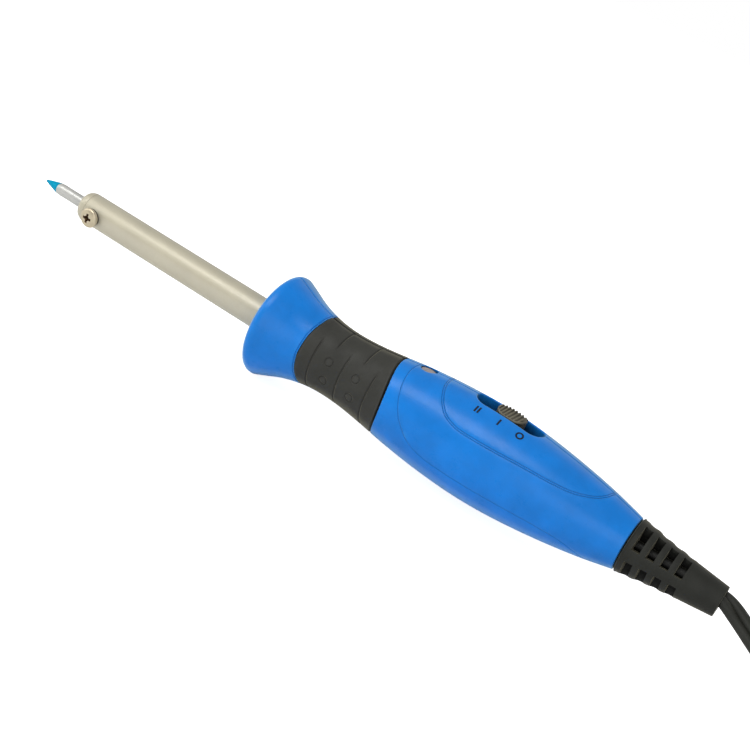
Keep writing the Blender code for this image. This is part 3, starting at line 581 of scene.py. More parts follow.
def metal(name, colour, rough=(0.25, 0.4), brushed=(1, 1, 1), grain_mm=0.12, depth=0.002,
          shade=0.15, stain=None, stain_amount=0.0, wear=0.2, metallic=1.0, coat=0.0, specular=0.5):
    """Turned or drawn metal: fine lines or grain, smudges, bright worn edges."""
    n = Nodes(name)
    dark = linear(tuple(c * (1 - shade) for c in colour))
    light = linear(tuple(min(255, c * (1 + shade * 0.4)) for c in colour))
    smudge = n.noise(7.0, 5.0)
    lines = n.noise(grain_mm, 3.0, brushed)
    base = n.mix(n.spread(smudge, 0.0, 1.0), dark, light)
    base = n.mix(n.spread(lines, 0.0, 0.4), base, dark)
    if stain:
        base = n.mix(n.spread(n.noise(2.2, 5.0), 0.0, stain_amount, 0.5, 0.68), base, linear(stain))
    base = n.mix(n.math("MULTIPLY", n.edges(), wear), base, WORN_METAL)
    roughness = n.math("ADD", n.spread(smudge, *rough), n.spread(lines, -0.04, 0.06))
    n.bsdf.inputs["Metallic"].default_value = metallic
    n.bsdf.inputs["Specular IOR Level"].default_value = specular
    n.bsdf.inputs["Coat Weight"].default_value = coat
    n.bsdf.inputs["Coat Roughness"].default_value = COAT_ROUGHNESS
    return n.finish(base, roughness, n.bump(lines, depth))


def glassy(name, colour, rough=(0.08, 0.2), transmission=0.6):
    """Clear or milky plastic, glass or mica."""
    n = Nodes(name)
    clouds = n.noise(1.5, 3.0)
    dark = linear(tuple(c * 0.86 for c in colour))
    base = n.mix(n.spread(clouds, 0.0, 1.0), dark, linear(colour))
    n.bsdf.inputs["Transmission Weight"].default_value = transmission
    n.bsdf.inputs["IOR"].default_value = 1.49
    return n.finish(base, n.spread(n.noise(0.8, 2.0), *rough), n.bump(n.noise(0.4, 2.0), 0.003))


BLUE = moulded("moulded_blue", (2, 127, 223), shade=0.06, rough=(0.26, 0.34), wear=0.2,
               grain_depth=0.003, specular=0.31, crevice_shade=0.75, sheen=0.05,
               painted_reflection=(195, 250, 245), painted_reflection_amount=0.4)
GRIP = moulded("grip_rubber", (50, 50, 45), shade=0.12, rough=(0.52, 0.68), grain_mm=0.22,
               grain_depth=0.012, wear=0.2, specular=0.36, sheen=0.2, crevice_shade=0.9, shut=0.45,
               painted_reflection=(185, 178, 145), painted_reflection_amount=0.35)
BOOT = moulded("boot_rubber", (37, 38, 33), shade=0.12, rough=(0.46, 0.6), grain_mm=0.2,
               grain_depth=0.006, wear=0.2, specular=0.26, sheen=0.2, crevice_shade=0.7,
               painted_reflection=(160, 154, 125), painted_reflection_amount=0.22)
CABLE = moulded("cable_sheath", (42, 43, 38), shade=0.12, rough=(0.42, 0.55), grain_mm=0.3,
                grain_depth=0.006, wear=0.15, specular=0.3, sheen=0.2)
KNOB = moulded("knob_plastic", (112, 107, 90), shade=0.1, rough=(0.42, 0.55), grain_mm=0.12,
               wear=0.3, specular=0.35, crevice_shade=1.0, crevice_shade_mm=0.9, shut=0.55)
DARK = moulded("dark_plastic", (26, 27, 28), rough=(0.4, 0.55), wear=0.25, specular=0.35)
PLUG = moulded("plug_plastic", (38, 38, 37), rough=(0.38, 0.52), wear=0.25, specular=0.35)
BROWN = moulded("brown_insulation", (110, 74, 42), rough=(0.35, 0.5))
CERAMIC = moulded("ceramic", (226, 220, 206), shade=0.08, rough=(0.55, 0.75), grain_depth=0.01)
INK = moulded("mark_ink", (14, 20, 34), shade=0.1, rough=(0.5, 0.65), wear=0.05, specular=0.2)
BARREL = metal("satin_barrel", (196, 189, 164), rough=(0.48, 0.56), brushed=(0.35, 1, 1),
               grain_mm=0.25, depth=0.004, shade=0.03, stain=(184, 170, 142), stain_amount=0.15,
               metallic=0.35, coat=1.0, specular=1.0)
BRIGHT = metal("bright_steel", (206, 205, 202), rough=(0.2, 0.32), shade=0.12)
TIP = metal("plated_tip", (207, 207, 202), rough=(0.34, 0.44), brushed=(1, 0.3, 0.3),
            grain_mm=0.14, shade=0.06, metallic=0.6)
SCREW = metal("nickel_screw", (216, 203, 174), rough=(0.28, 0.38), shade=0.08, metallic=0.75)
# Blackened steel, made darker still so that the washer also paints the shadow in the gap under the
# screw head.
WASHER_STEEL_AND_SHADE = metal("black_steel_and_painted_shade", (40, 33, 24), rough=(0.4, 0.5), shade=0.15)
RECESS = moulded("screw_recess", (112, 80, 46), shade=0.2, rough=(0.5, 0.65), specular=0.3,
                 crevice_shade=0.5, hollow_shade_amount=0.5)
DIP = moulded("tip_dip_blue", (0, 154, 192), shade=0.06, rough=(0.42, 0.55), grain_depth=0.003,
              wear=0.0, crevice_shade=0.2, specular=0.05)
BRASS = metal("brass", (196, 160, 88), rough=(0.22, 0.36))
RESISTANCE = metal("resistance_wire", (150, 144, 136), rough=(0.3, 0.45))
MICA = glassy("mica", (196, 178, 140), rough=(0.25, 0.4), transmission=0.3)
LENS = glassy("clear_lens", (222, 208, 204), rough=(0.12, 0.25), transmission=0.45)
LAMP = glassy("lamp_glass", (236, 186, 160), transmission=0.5)

SLOT_MATERIALS = {
    "blue_plastic": BLUE, "soft_grip": GRIP, "black_rubber": BOOT, "knob_plastic": KNOB,
    "clear_lens": LENS, "satin_steel": BARREL, "bright_steel": BRIGHT, "plated_copper": TIP,
    "ceramic": CERAMIC, "mica": MICA, "resistance_wire": RESISTANCE, "brass": BRASS,
    "black_plastic": DARK, "brown_insulation": BROWN, "lamp_glass": LAMP,
}
NODE_MATERIALS = {"mains_cable": CABLE, "plug_body": PLUG}


def dress_frame():
    """Better materials on every CAD node that stays."""
    for node, piece in frame["nodes"].items():
        finish = piece.material_slots[0].material.name.split(".")[0]
        material = NODE_MATERIALS.get(node, SLOT_MATERIALS[finish])
        for holder in piece.material_slots:
            holder.material = material


# ------------------------------------------------------------------ stage, light and camera

# Area lights: name, place, target, width and height in millimetres, power
LIGHTS = (
    ("key", (-175, -420, 620), (-175, 0, 0), (760, 300), 2.9),
    ("fill", (420, -700, 160), (150, 0, 0), (500, 500), 1.0),
    ("rim", (260, 420, 420), (150, 0, 0), (500, 160), 0.15),
    ("front", (-420, -160, 160), (100, 0, 0), (260, 260), 0.4),
)
# Strength of the light all round, and as gloss sees it
AROUND = 0.42
AROUND_GLOSS = 0.5
FLOOR_HALF = 6.0
FLOOR_TONES = (0.93, 0.96)
FLOOR_GLOW = 0.05
FLOOR_GLOW_SEEN = 0.85


def area_light(name, where, target, size, power):
    data = bpy.data.lights.new(name, "AREA")
    data.shape = "RECTANGLE"
    data.size, data.size_y = (s * MM for s in size)
    data.energy = power
    lamp = bpy.data.objects.new(name, data)
    lamp.location = place(where)
    aim = Vector(place(target)) - lamp.location
    lamp.rotation_euler = aim.to_track_quat("-Z", "Y").to_euler()
    bpy.context.scene.collection.objects.link(lamp)


def surroundings():
    """Plain light all round, of its own strength for the camera, for gloss and for the rest."""
    world = bpy.data.worlds.new("studio")
    bpy.context.scene.world = world
    world.use_nodes = True
    tree = world.node_tree
    background = tree.nodes["Background"]
    ray = tree.nodes.new("ShaderNodeLightPath")
    strength = None
    for output, extra in (("Is Camera Ray", 1 - AROUND), ("Is Glossy Ray", AROUND_GLOSS - AROUND)):
        step = tree.nodes.new("ShaderNodeMath")
        step.operation = "MULTIPLY_ADD"
        tree.links.new(ray.outputs[output], step.inputs[0])
        step.inputs[1].default_value = extra
        step.inputs[2].default_value = AROUND
        if strength is not None:
            tree.links.new(strength, step.inputs[2])
        strength = step.outputs[0]
    tree.links.new(strength, background.inputs["Strength"])
    background.inputs["Color"].default_value = (1, 1, 1, 1)


def lay_floor():
    """Pale paper that glows a little for the camera, so that it stays near white."""
    mesh = bpy.data.meshes.new("floor")
    corners = [(x * FLOOR_HALF, y * FLOOR_HALF, 0) for x, y in ((-1, -1), (1, -1), (1, 1), (-1, 1))]
    mesh.from_pydata(corners, [], [(0, 1, 2, 3)])
    floor = bpy.data.objects.new("floor", mesh)
    bpy.context.scene.collection.objects.link(floor)
    n = Nodes("floor_paper")
    dim, bright = ((tone, tone, tone, 1) for tone in FLOOR_TONES)
    paper = n.mix(n.spread(n.noise(40.0, 2.0), 0.0, 1.0), dim, bright)
    seen = n.add("ShaderNodeLightPath").outputs["Is Camera Ray"]
    n.link(paper, n.bsdf.inputs["Base Color"])
    n.link(paper, n.bsdf.inputs["Emission Color"])
    n.link(n.math("ADD", n.math("MULTIPLY", seen, FLOOR_GLOW_SEEN), FLOOR_GLOW),
           n.bsdf.inputs["Emission Strength"])
    n.bsdf.inputs["Roughness"].default_value = 0.9
    n.bsdf.inputs["Specular IOR Level"].default_value = 0.0
    mesh.materials.append(n.material)


def studio():
    bpy.context.scene.view_settings.view_transform = "Standard"
    surroundings()
    lay_floor()
    for light in LIGHTS:
        area_light(*light)


CAMERA_PLACE = (257.3, -346.3, 132.1)
CAMERA_SPIN = math.radians(19.0)
CAMERA_TILT = math.atan2(0.350, 0.937)
CAMERA_ROLL = math.radians(31.9)
CAMERA_LENS = 64.8


def photographer():
    """Camera seen along the handle's near side, rolled so the tool runs up to the left."""
    across = Vector((math.cos(CAMERA_SPIN), 0, 0))
    outward = Vector((0, -math.cos(CAMERA_TILT), math.sin(CAMERA_TILT)))
    upward = Vector((0, math.sin(CAMERA_TILT), math.cos(CAMERA_TILT)))
    level = across - math.sin(CAMERA_SPIN) * outward
    right = math.cos(CAMERA_ROLL) * level + math.sin(CAMERA_ROLL) * upward
    up = -math.sin(CAMERA_ROLL) * level + math.cos(CAMERA_ROLL) * upward
    turn = Matrix((right, up, right.cross(up))).transposed()
    data = bpy.data.cameras.new("camera")
    data.lens = CAMERA_LENS
    data.clip_start = 0.01
    camera = bpy.data.objects.new("camera", data)
    camera.matrix_world = Matrix.Translation(Vector(place(CAMERA_PLACE))) @ turn.to_4x4()
    bpy.context.scene.collection.objects.link(camera)
    bpy.context.scene.camera = camera


# ------------------------------------------------------------------ the two blue shells

# Sizes of the two halves, in millimetres
HOLE_R = 5.3
GUARD_LIP_X = SHELL_FRONT + LIP_R
LIP_CENTRE_R = GUARD_R - LIP_R
REAR_CORNER = 0.5
NECK_R = 5.6
WALL = 1.9
LENS_WALL = 2.4
NECK_WALL = 0.35
NECK_FROM = 209.0
NECK_TO = 213.0
PARTING = 0.08
EDGE_R = 0.4
SLOT_HALF = SLOT_LENGTH / 2
SLOT_R = SLOT_WIDTH / 2
SLOT_WALL = 4.2
SLOT_EDGE_R = 0.35
LENS_EDGE_R = 0.2
BORE_EDGE_R = 0.15
SCREW_SEAT_Y = 3.5
GRIP_FRONT = 109.6
GRIP_REAR = 137.9
GRIP_SINK = 1.5
GRIP_EDGE_R = 0.12
# A fine groove just in front of the grip, and the lines of the oval and the double panel line
RIM_BACK = 0.42
RIM_HALF = 0.3
RIM_DEPTH = 0.28
LINE_HALF = 0.22
LINE_DEPTH = 0.2
PANEL_APART = 0.56
PANEL_HALF = 0.2
PANEL_DEPTH = 0.22
# Spacing of points along borders, openings, outlines and moulded lines
BORDER_STEP = 0.5
PLAN_STEP = 0.3
OUTLINE_STEP = 0.4
LINE_STEP = 0.45
RUN_ON = 6
ACROSS = (-1, -0.5, 0, 0.5, 1)

# Where the blue ends and the grip begins: (degrees from the top, distance from the tip)
GRIP_FRONT_LINE = (
    (0, 110.9), (30, 110.6), (60, 109.9), (90, 109.7), (115, 110.2), (140, 111.0), (180, 111.6),
)


def handle_points():
    """The whole turned outline, from the barrel's hole over the guard to the boot."""
    body = [p for p in smooth_outline(HANDLE_OUTLINE, OUTLINE_STEP) if p[0] < SHELL_END - REAR_CORNER]
    last_r = body[-1][1] - 0.1
    face = straight((SHELL_FRONT, HOLE_R), (SHELL_FRONT, LIP_CENTRE_R), BORDER_STEP)
    lip = arc(GUARD_LIP_X, LIP_CENTRE_R, LIP_R, math.pi, LIP_END, 16)
    corner = arc(SHELL_END - REAR_CORNER, last_r - REAR_CORNER, REAR_CORNER, math.pi / 2, 0, 5)
    back = straight(corner[-1], (SHELL_END, NECK_R), OUTLINE_STEP)
    return face + lip + body + corner + back


SHELL = Profile(handle_points())
BODY_START = SHELL.from_x(100.0)


def moulded_line(stations):
    """A moulded line as a (length, angle) path, run on a little at both ends."""
    path = refine(stations, LINE_STEP)
    line = np.stack((SHELL.from_x(path[:, 0]), np.radians(path[:, 1])), axis=1)
    first = line[0] + (line[0] - line[1]) * RUN_ON
    last = line[-1] + (line[-1] - line[-2]) * RUN_ON
    return np.vstack((first, line, last))


OVAL = moulded_line(OVAL_LINE)
PANEL = moulded_line(PANEL_LINE)


def grip_front(angle):
    """Length at which the grip begins, at an angle from the top."""
    return SHELL.from_x(np.interp(np.degrees(angle), *zip(*GRIP_FRONT_LINE)))


def grip_rear(angle):
    """Length at which the grip ends, bowed back over the sides and a little underneath."""
    return SHELL.from_x(136.6 + 2.6 * np.sin(angle) ** 2 + 0.65 * (1 - np.cos(angle)))


def beside_seam(u, gap, bottom):
    """(length, angle) of the points that lie a gap from the parting plane."""
    angle = np.arcsin(gap / SHELL.at(u)[1])
    return np.stack((u, math.pi - angle if bottom else angle), axis=-1)


def slot_gap(x, y):
    """Signed distance outside the round-ended switch slot, in plan."""
    run = np.maximum(np.abs(x - SWITCH_X) - (SLOT_HALF - SLOT_R), 0)
    return np.hypot(run, y) - SLOT_R


def window_gap(x, y):
    """Signed distance outside the lamp's window, in plan."""
    return np.hypot(x - LAMP_X, y) - LENS_HOLE_R


def opening_line(centre, half_length, radius):
    """(length, angle) of half a round-ended opening on top of the handle, front to rear."""
    flat = half_length - radius
    start = math.asin(PARTING / radius)
    count = max(3, round(radius * (math.pi / 2 - start) / PLAN_STEP))
    turns = steps(math.pi - start, math.pi / 2, count)
    front = [(centre - flat + radius * math.cos(t), radius * math.sin(t)) for t in turns]
    rear = [(2 * centre - x, y) for x, y in reversed(front)]
    if flat > 0:
        across = max(2, round(2 * flat / PLAN_STEP))
        side = [(x, radius) for x in steps(centre - flat, centre + flat, across)[1:-1]]
    else:
        side, rear = [], rear[1:]
    x, y = np.array(front + side + rear).T
    return np.stack((SHELL.from_x(x), np.arcsin(np.clip(y / SHELL.radius(x), -1, 1))), axis=-1)


def slot_line(gap=0.0):
    return opening_line(SWITCH_X, SLOT_HALF + gap, SLOT_R + gap)


def window_line(gap=0.0):
    return opening_line(LAMP_X, LENS_HOLE_R + gap, LENS_HOLE_R + gap)


def shell_border():
    """Round one half: along the top with its window and slot, and back along the bottom."""
    def seam(first, last, bottom=False):
        count = round(abs(last - first) / BORDER_STEP)
        return beside_seam(np.array(steps(first, last, count)), PARTING, bottom)

    def end(u, radius, turns):
        count = round(math.pi * radius / BORDER_STEP)
        return np.array([(u, turn) for turn in steps(*turns, count)[1:-1]])

    window, slot = window_line(), slot_line()
    top = (seam(0.0, window[0, 0])[:-1], window, seam(window[-1, 0], slot[0, 0])[1:-1], slot,
           seam(slot[-1, 0], SHELL.end)[1:])
    bottom = seam(SHELL.end, 0.0, True)
    rear = end(SHELL.end, NECK_R, (top[-1][-1, 1], bottom[0, 1]))
    front = end(0.0, HOLE_R, (bottom[-1, 1], top[0][0, 1]))
    return np.vstack((*top, rear, bottom, front))


def shell_sink(u, angle):
    """How far the moulded surface lies under the turned outline."""
    x, r = SHELL.at(u)
    y, z = r * np.sin(angle), r * np.cos(angle)
    where = SHELL.point(u, angle, 1)
    oval = to_polyline(where, SHELL.point(*OVAL.T, 1))
    panel = to_polyline(where, SHELL.point(*PANEL.T, 1))
    slot = fillet(np.maximum(slot_gap(x, y), 0), SLOT_EDGE_R)
    window = fillet(np.maximum(window_gap(x, y), 0), LENS_EDGE_R)
    front = grip_front(angle)
    inside = np.minimum(u - front, grip_rear(angle) - u)
    on_body = u > BODY_START

    sink = groove(oval, LINE_HALF, LINE_DEPTH)
    sink = np.maximum(sink, groove(np.abs(panel - PANEL_APART / 2), PANEL_HALF, PANEL_DEPTH))
    sink = np.maximum(sink, fillet(y - PARTING, EDGE_R))
    sink = np.maximum(sink, np.where(z > 0, np.maximum(slot, window), 0))
    sink = sink + np.where(on_body, np.clip(inside / 0.1, 0, 1) * GRIP_SINK, 0)
    sink = np.maximum(sink, np.where(on_body & (inside < 0), fillet(-inside, GRIP_EDGE_R), 0))
    rim_line = groove(np.abs(front - RIM_BACK - u), RIM_HALF, RIM_DEPTH)
    return np.maximum(sink, np.where(on_body, rim_line, 0))


def shell_surface(side):
    def surface(u, angle):
        points = SHELL.point(u, angle, side, shell_sink(u, angle))
        if side > 0:
            for x, z in SCREW_SITES:
                gap = np.hypot(points[:, 0] - x, points[:, 2] - z)
                well = (gap < SCREW_BORE_R) & (points[:, 1] > 0)
                lip = (gap >= SCREW_BORE_R) & (points[:, 1] > 0)
                points[well, 1] = np.minimum(points[well, 1], SCREW_SEAT_Y)
                points[lip, 1] -= fillet(gap[lip] - SCREW_BORE_R, BORE_EDGE_R)
        return points
    return surface


def shell_underside(side):
    """Inner face: a plain wall, deeper under the grip and round the two openings."""
    def surface(u, angle):
        x, r = SHELL.at(u)
        wall = np.interp(x, (94, NECK_FROM, NECK_TO), (WALL, WALL, NECK_WALL))
        sunk = (x > GRIP_FRONT - 1) & (x < GRIP_REAR + 1) & (u > BODY_START)
        points = SHELL.point(u, angle, side, wall + np.where(sunk, GRIP_SINK, 0))
        plain = SHELL.point(u, angle, side)
        y, z = r * np.sin(angle), r * np.cos(angle)
        for gap, depth in ((slot_gap(x, y), SLOT_WALL), (window_gap(x, y), LENS_WALL)):
            edge = (gap < 0.05) & (z > 0)
            points[edge] = plain[edge] - np.array((0, 0, depth))
        return points
    return surface


def screw_rings():
    """Rows round the screw wells on the far side."""
    rings = []
    turns = np.linspace(0, TAU, 49)
    for x, z in SCREW_SITES:
        for radius in (SCREW_BORE_R - 0.04, SCREW_BORE_R + 0.001, SCREW_BORE_R + BORE_EDGE_R):
            u = SHELL.from_x(x + radius * np.cos(turns))
            height = (z + radius * np.sin(turns)) / SHELL.at(u)[1]
            rings.append(np.stack((u, np.arccos(np.clip(height, -1, 1))), axis=1))
    return rings


def seam_rows():
    """Rows along the parting line's rounded edge, broken at the openings and the grip."""
    rows = []
    u = np.arange(0.02, SHELL.end, 0.5)
    x = SHELL.at(u)[0]
    off_grip = (x < GRIP_FRONT + 0.2) | (x > GRIP_REAR - 0.2)
    for bottom in (False, True):
        for gap in (0.05, 0.14, EDGE_R):
            keep = off_grip.copy()
            if not bottom:
                keep &= slot_gap(x, PARTING + gap) > 0.5
                keep &= window_gap(x, PARTING + gap) > 0.4
            line = beside_seam(u, PARTING + gap, bottom)
            parts = np.split(np.arange(len(u)), np.flatnonzero(np.diff(keep)) + 1)
            rows += [line[part] for part in parts if keep[part[0]] and len(part) > 1]
    return rows


def shell_rows(side):
    """Rows that the triangles follow, so that every moulded edge is crisp."""
    rows = [offset_line(SHELL, OVAL, share * LINE_HALF) for share in ACROSS]
    for edge in (-PANEL_APART / 2, PANEL_APART / 2):
        rows += [offset_line(SHELL, PANEL, edge + share * PANEL_HALF) for share in ACROSS]
    rows += [slot_line(gap) for gap in (0.05, 0.13, SLOT_EDGE_R)]
    rows += [window_line(gap) for gap in (0.07, LENS_EDGE_R)]
    turns = np.linspace(-0.02, math.pi + 0.02, 100)
    edge_gaps = [-0.1, 0.0, 0.05, GRIP_EDGE_R]
    rim_gaps = [RIM_BACK + share * RIM_HALF for share in ACROSS]
    rows += [np.stack((grip_front(turns) - gap, turns), axis=1) for gap in edge_gaps + rim_gaps]
    rows += [np.stack((grip_rear(turns) + gap, turns), axis=1) for gap in edge_gaps]
    rows += seam_rows()
    if side > 0:
        rows += screw_rings()
    return rows


def build_shells():
    border = shell_border()
    for name, side, node in (("near_shell", -1, "shell_left"), ("far_shell", 1, "shell_right")):
        piece = skin(name, side, SHELL, border, shell_rows(side), shell_surface(side),
                     shell_underside(side), BLUE)
        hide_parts(node)


# ------------------------------------------------------------------ the two grip pads

# Pads stop this far from the parting plane; their face has grooves and small rings
PAD_GAP = 0.45
PAD_THICK = 1.2
PAD_EDGE = 0.28
PAD_EDGE_ROWS = (0.06, PAD_EDGE)
PAD_STEP = 0.4
GROOVE_HALF = 0.42
GROOVE_DEPTH = 0.3
PIP_R = 1.25
PIP_HALF = 0.32
PIP_DEPTH = 0.21
PAD_FRONT = 0.1
PAD_BACK = 0.68


def pad_front(angle):
    return grip_front(angle) + PAD_FRONT


def pad_rear(angle):
    return grip_rear(angle) - PAD_BACK


def fade(groove_row, degrees):
    """Depth of a grip groove along its run: it dies away at its open end."""
    x, low, high = groove_row
    if low > 30:
        return np.clip((degrees - low) / 14, 0, 1)
    return np.clip((high - degrees) / 8, 0, 1)


def pad_sink(u, angle):
    """How far the pad's surface lies under the turned outline."""
    x, r = SHELL.at(u)
    sink = np.zeros_like(x)
    for row in GRIP_GROOVES:
        depth = groove(np.abs(x - row[0]), GROOVE_HALF, GROOVE_DEPTH) * fade(row, np.degrees(angle))
        sink = np.maximum(sink, depth)
    for pip_x, turn in GRIP_PIPS:
        gap = np.hypot(x - pip_x, (angle - math.radians(turn)) * SHELL.radius(pip_x))
        sink = np.maximum(sink, groove(np.abs(gap - PIP_R), PIP_HALF, PIP_DEPTH))
    for inside in (u - pad_front(angle), pad_rear(angle) - u, r * np.sin(angle) - PAD_GAP):
        sink = np.maximum(sink, fillet(np.maximum(inside, 0), PAD_EDGE))
    return sink


def pad_border():
    turns = np.linspace(0, math.pi, 90)
    front, rear = pad_front(turns), pad_rear(turns)
    count = round((rear[0] - front[0]) / PAD_STEP)
    top = beside_seam(np.array(steps(front[0], rear[0], count)), PAD_GAP, False)
    bottom = beside_seam(np.array(steps(rear[-1], front[-1], count)), PAD_GAP, True)
    back = np.stack((rear, turns), axis=1)[1:-1]
    fore = np.stack((front, turns), axis=1)[-2:0:-1]
    return np.vstack((top, back, bottom, fore))


def pad_rows():
    """Rows along the grooves, round the pips and inside the pad's rounded edge."""
    rows = []
    for x, low, high in GRIP_GROOVES:
        turns = np.radians(np.arange(low, high + 0.1, 2.2))
        for share in ACROSS:
            u = SHELL.from_x(np.full_like(turns, x + share * GROOVE_HALF))
            rows.append(np.stack((u, turns), axis=1))
    around = np.linspace(0, TAU, 33)
    for x, turn in GRIP_PIPS:
        for size in (PIP_R + share * PIP_HALF for share in ACROSS):
            angle = math.radians(turn) + size * np.sin(around) / SHELL.radius(x)
            rows.append(np.stack((SHELL.from_x(x + size * np.cos(around)), angle), axis=1))
    turns = np.linspace(0.03, math.pi - 0.03, 90)
    for gap in PAD_EDGE_ROWS:
        rows.append(np.stack((pad_front(turns) + gap, turns), axis=1))
        rows.append(np.stack((pad_rear(turns) - gap, turns), axis=1))
    for bottom in (False, True):
        turn = math.pi if bottom else 0.0
        u = np.arange(float(grip_front(turn)) + 0.4, float(grip_rear(turn)) - 0.7, PAD_STEP)
        rows += [beside_seam(u, PAD_GAP + gap, bottom) for gap in PAD_EDGE_ROWS]
    return rows


def build_pads():
    border = pad_border()
    for name, side, node in (("near_pad", -1, "grip_left"), ("far_pad", 1, "grip_right")):
        def surface(u, angle, side=side):
            return SHELL.point(u, angle, side, pad_sink(u, angle))

        def underside(u, angle, side=side):
            return SHELL.point(u, angle, side, PAD_THICK)

        piece = skin(name, side, SHELL, border, pad_rows(), surface, underside, GRIP,
                     spacing=0.8, clear=0.3)
        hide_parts(node)


# ------------------------------------------------------------------ turned and swept pieces


def turn_outwards(mesh):
    """Turns the faces of a closed mesh outwards."""
    shape = bmesh.new()
    shape.from_mesh(mesh)
    bmesh.ops.recalc_face_normals(shape, faces=shape.faces)
    if shape.calc_volume(signed=True) < 0:
        bmesh.ops.reverse_faces(shape, faces=shape.faces)
    shape.to_mesh(mesh)
    shape.free()


def solid(name, points, faces, material, body, soft=40.0, replaced=None):
    """A closed piece with its faces turned outwards and its sharp edges kept."""
    piece = new_piece(name, points, faces, material, body)
    turn_outwards(piece.data)
    piece.data.set_sharp_from_angle(angle=math.radians(soft))
    if replaced:
        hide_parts(replaced)
    return piece


def revolve(name, outline, material, body, segments=96, frame_of=None, replaced=None):
    """A turned piece from (along, radius) points. frame_of maps (along, y, z) to the tool."""
    verts, rings, faces = [], [], []
    for along, radius in outline:
        if radius < 1e-6:
            rings.append([len(verts)])
            verts.append((along, 0.0, 0.0))
            continue
        rings.append(list(range(len(verts), len(verts) + segments)))
        for k in range(segments):
            turn = TAU * k / segments
            verts.append((along, radius * math.sin(turn), radius * math.cos(turn)))
    for a, b in zip(rings, rings[1:] + rings[:1]):
        if len(a) == 1 and len(b) == 1:
            continue
        for k in range(segments):
            m = (k + 1) % segments
            if len(a) == 1:
                faces.append((a[0], b[k], b[m]))
            elif len(b) == 1:
                faces.append((a[k], b[0], a[m]))
            else:
                faces.append((a[k], b[k], b[m], a[m]))
    points = np.array(verts)
    if frame_of is not None:
        points = frame_of(points)
    return solid(name, points, faces, material, body, replaced=replaced)


def soften(outline, radius, count=3):
    """Rounds the corners of a closed (along, radius) outline, but for those on the axis."""
    out = []
    for i, corner in enumerate(outline):
        if corner[1] < 1e-6:
            out.append(corner)
            continue
        p, before, after = (np.array(outline[j % len(outline)], float) for j in (i, i - 1, i + 1))
        back, ahead = before - p, after - p
        cut = min(radius, np.linalg.norm(back) * 0.45, np.linalg.norm(ahead) * 0.45)
        a = p + back / np.linalg.norm(back) * cut
        b = p + ahead / np.linalg.norm(ahead) * cut
        for t in steps(0, 1, count):
            q = a * (1 - t) ** 2 + p * 2 * t * (1 - t) + b * t * t
            out.append((float(q[0]), float(max(q[1], 0.0))))
    return out


def ring_faces(rings, closed=False):
    """Faces through a row of equal rings, capped at its ends or closed on itself."""
    count = len(rings[0])
    starts = [k * count for k in range(len(rings))]
    faces = []
    for a, b in zip(starts, starts[1:] + starts[:1] if closed else starts[1:]):
        for k in range(count):
            m = (k + 1) % count
            faces.append((a + k, a + m, b + m, b + k))
    if not closed:
        faces.append(tuple(reversed(range(count))))
        faces.append(tuple(starts[-1] + k for k in range(count)))
    return faces


def sweep(name, rings, material, body, soft=50.0, replaced=None):
    """A solid through a row of equal rings of points."""
    return solid(name, np.vstack(rings), ring_faces(rings), material, body, soft, replaced)


def box_rings(low, high, taper=1.0):
    """A box as two rings; its low end along the first axis may be narrower."""
    corners = ((low[1], low[2]), (high[1], low[2]), (high[1], high[2]), (low[1], high[2]))
    ends = ((low[0], taper), (high[0], 1.0))
    return [np.array([(x, y * shrink, z * shrink) for y, z in corners]) for x, shrink in ends]


def rod_rings(start, end, radius, end_radius=None, segments=32):
    """A rod as two rings; its far end may have a radius of its own."""
    turns = np.arange(segments) * TAU / segments
    ends = ((start, radius), (end, end_radius or radius))
    return [np.stack((np.full(segments, along), size * np.sin(turns), size * np.cos(turns)), 1)
            for along, size in ends]


def subtract(piece, cutters, soft):
    """Cuts the bodies given as rows of rings out of a piece."""
    for rings in cutters:
        mesh = bpy.data.meshes.new("cutter")
        mesh.from_pydata([tuple(v) for v in place(np.vstack(rings))], [], ring_faces(rings))
        turn_outwards(mesh)
        cutter = bpy.data.objects.new("cutter", mesh)
        bpy.context.scene.collection.objects.link(cutter)
        modifier = piece.modifiers.new("cut", "BOOLEAN")
        modifier.operation = "DIFFERENCE"
        modifier.solver = "EXACT"
        modifier.object = cutter
        bpy.context.view_layer.update()
        evaluated = piece.evaluated_get(bpy.context.evaluated_depsgraph_get())
        old = piece.data
        cut = bpy.data.meshes.new_from_object(evaluated)
        piece.modifiers.clear()
        piece.data = cut
        bpy.data.meshes.remove(old)
        bpy.data.objects.remove(cutter)
    piece.data.set_sharp_from_angle(angle=math.radians(soft))


# ------------------------------------------------------------------ tip, barrel and tip screw

screw_joint = next(j for j in frame["joints"] if j["name"] == "screw_advance")
SCREW_AXIS = Vector(screw_joint["axis"]).normalized()

# Outline of the bit's point: (distance from the tip, radius)
BIT_OUTLINE = (
    (0.25, 0.32), (0.6, 0.44), (1.4, 0.70), (3.0, 1.14), (5.25, 1.72), (6.4, 1.91), (7.5, 1.98),
    (9.0, TIP_R),
)
# The dip ends here; it stands over the bit, which is a little thinner under it
DIP_END = 5.6
DIP_OVER = 0.05
BIT_UNDER = 0.06
TUBE_WALL = 0.5
TUBE_EDGE = 0.12
SCREW_HOLE_R = 1.75
NOSE_R = TIP_R + 0.2
NOSE_END = 29.0
NOSE_LIP_R = 0.45
# Tip screw: heights are measured out from the long axis
HEAD_R = 3.15
HEAD_SEAT = 5.85
HEAD_SIDE = 6.35
HEAD_TOP = 7.55
SHANK_R = 1.45
CROSS_FLOOR = 6.4
CROSS_LONG = 2.15
CROSS_WIDE = 0.58
CROSS_TAPER = 0.45
WASHER_Y = 5.45
WASHER_INNER = 1.62
WASHER_OUTER = 2.95
WASHER_HALF = 0.25
WASHER_SQUASH = 0.9
WASHER_EDGE = 0.12
WASHER_LEAN = 0.04


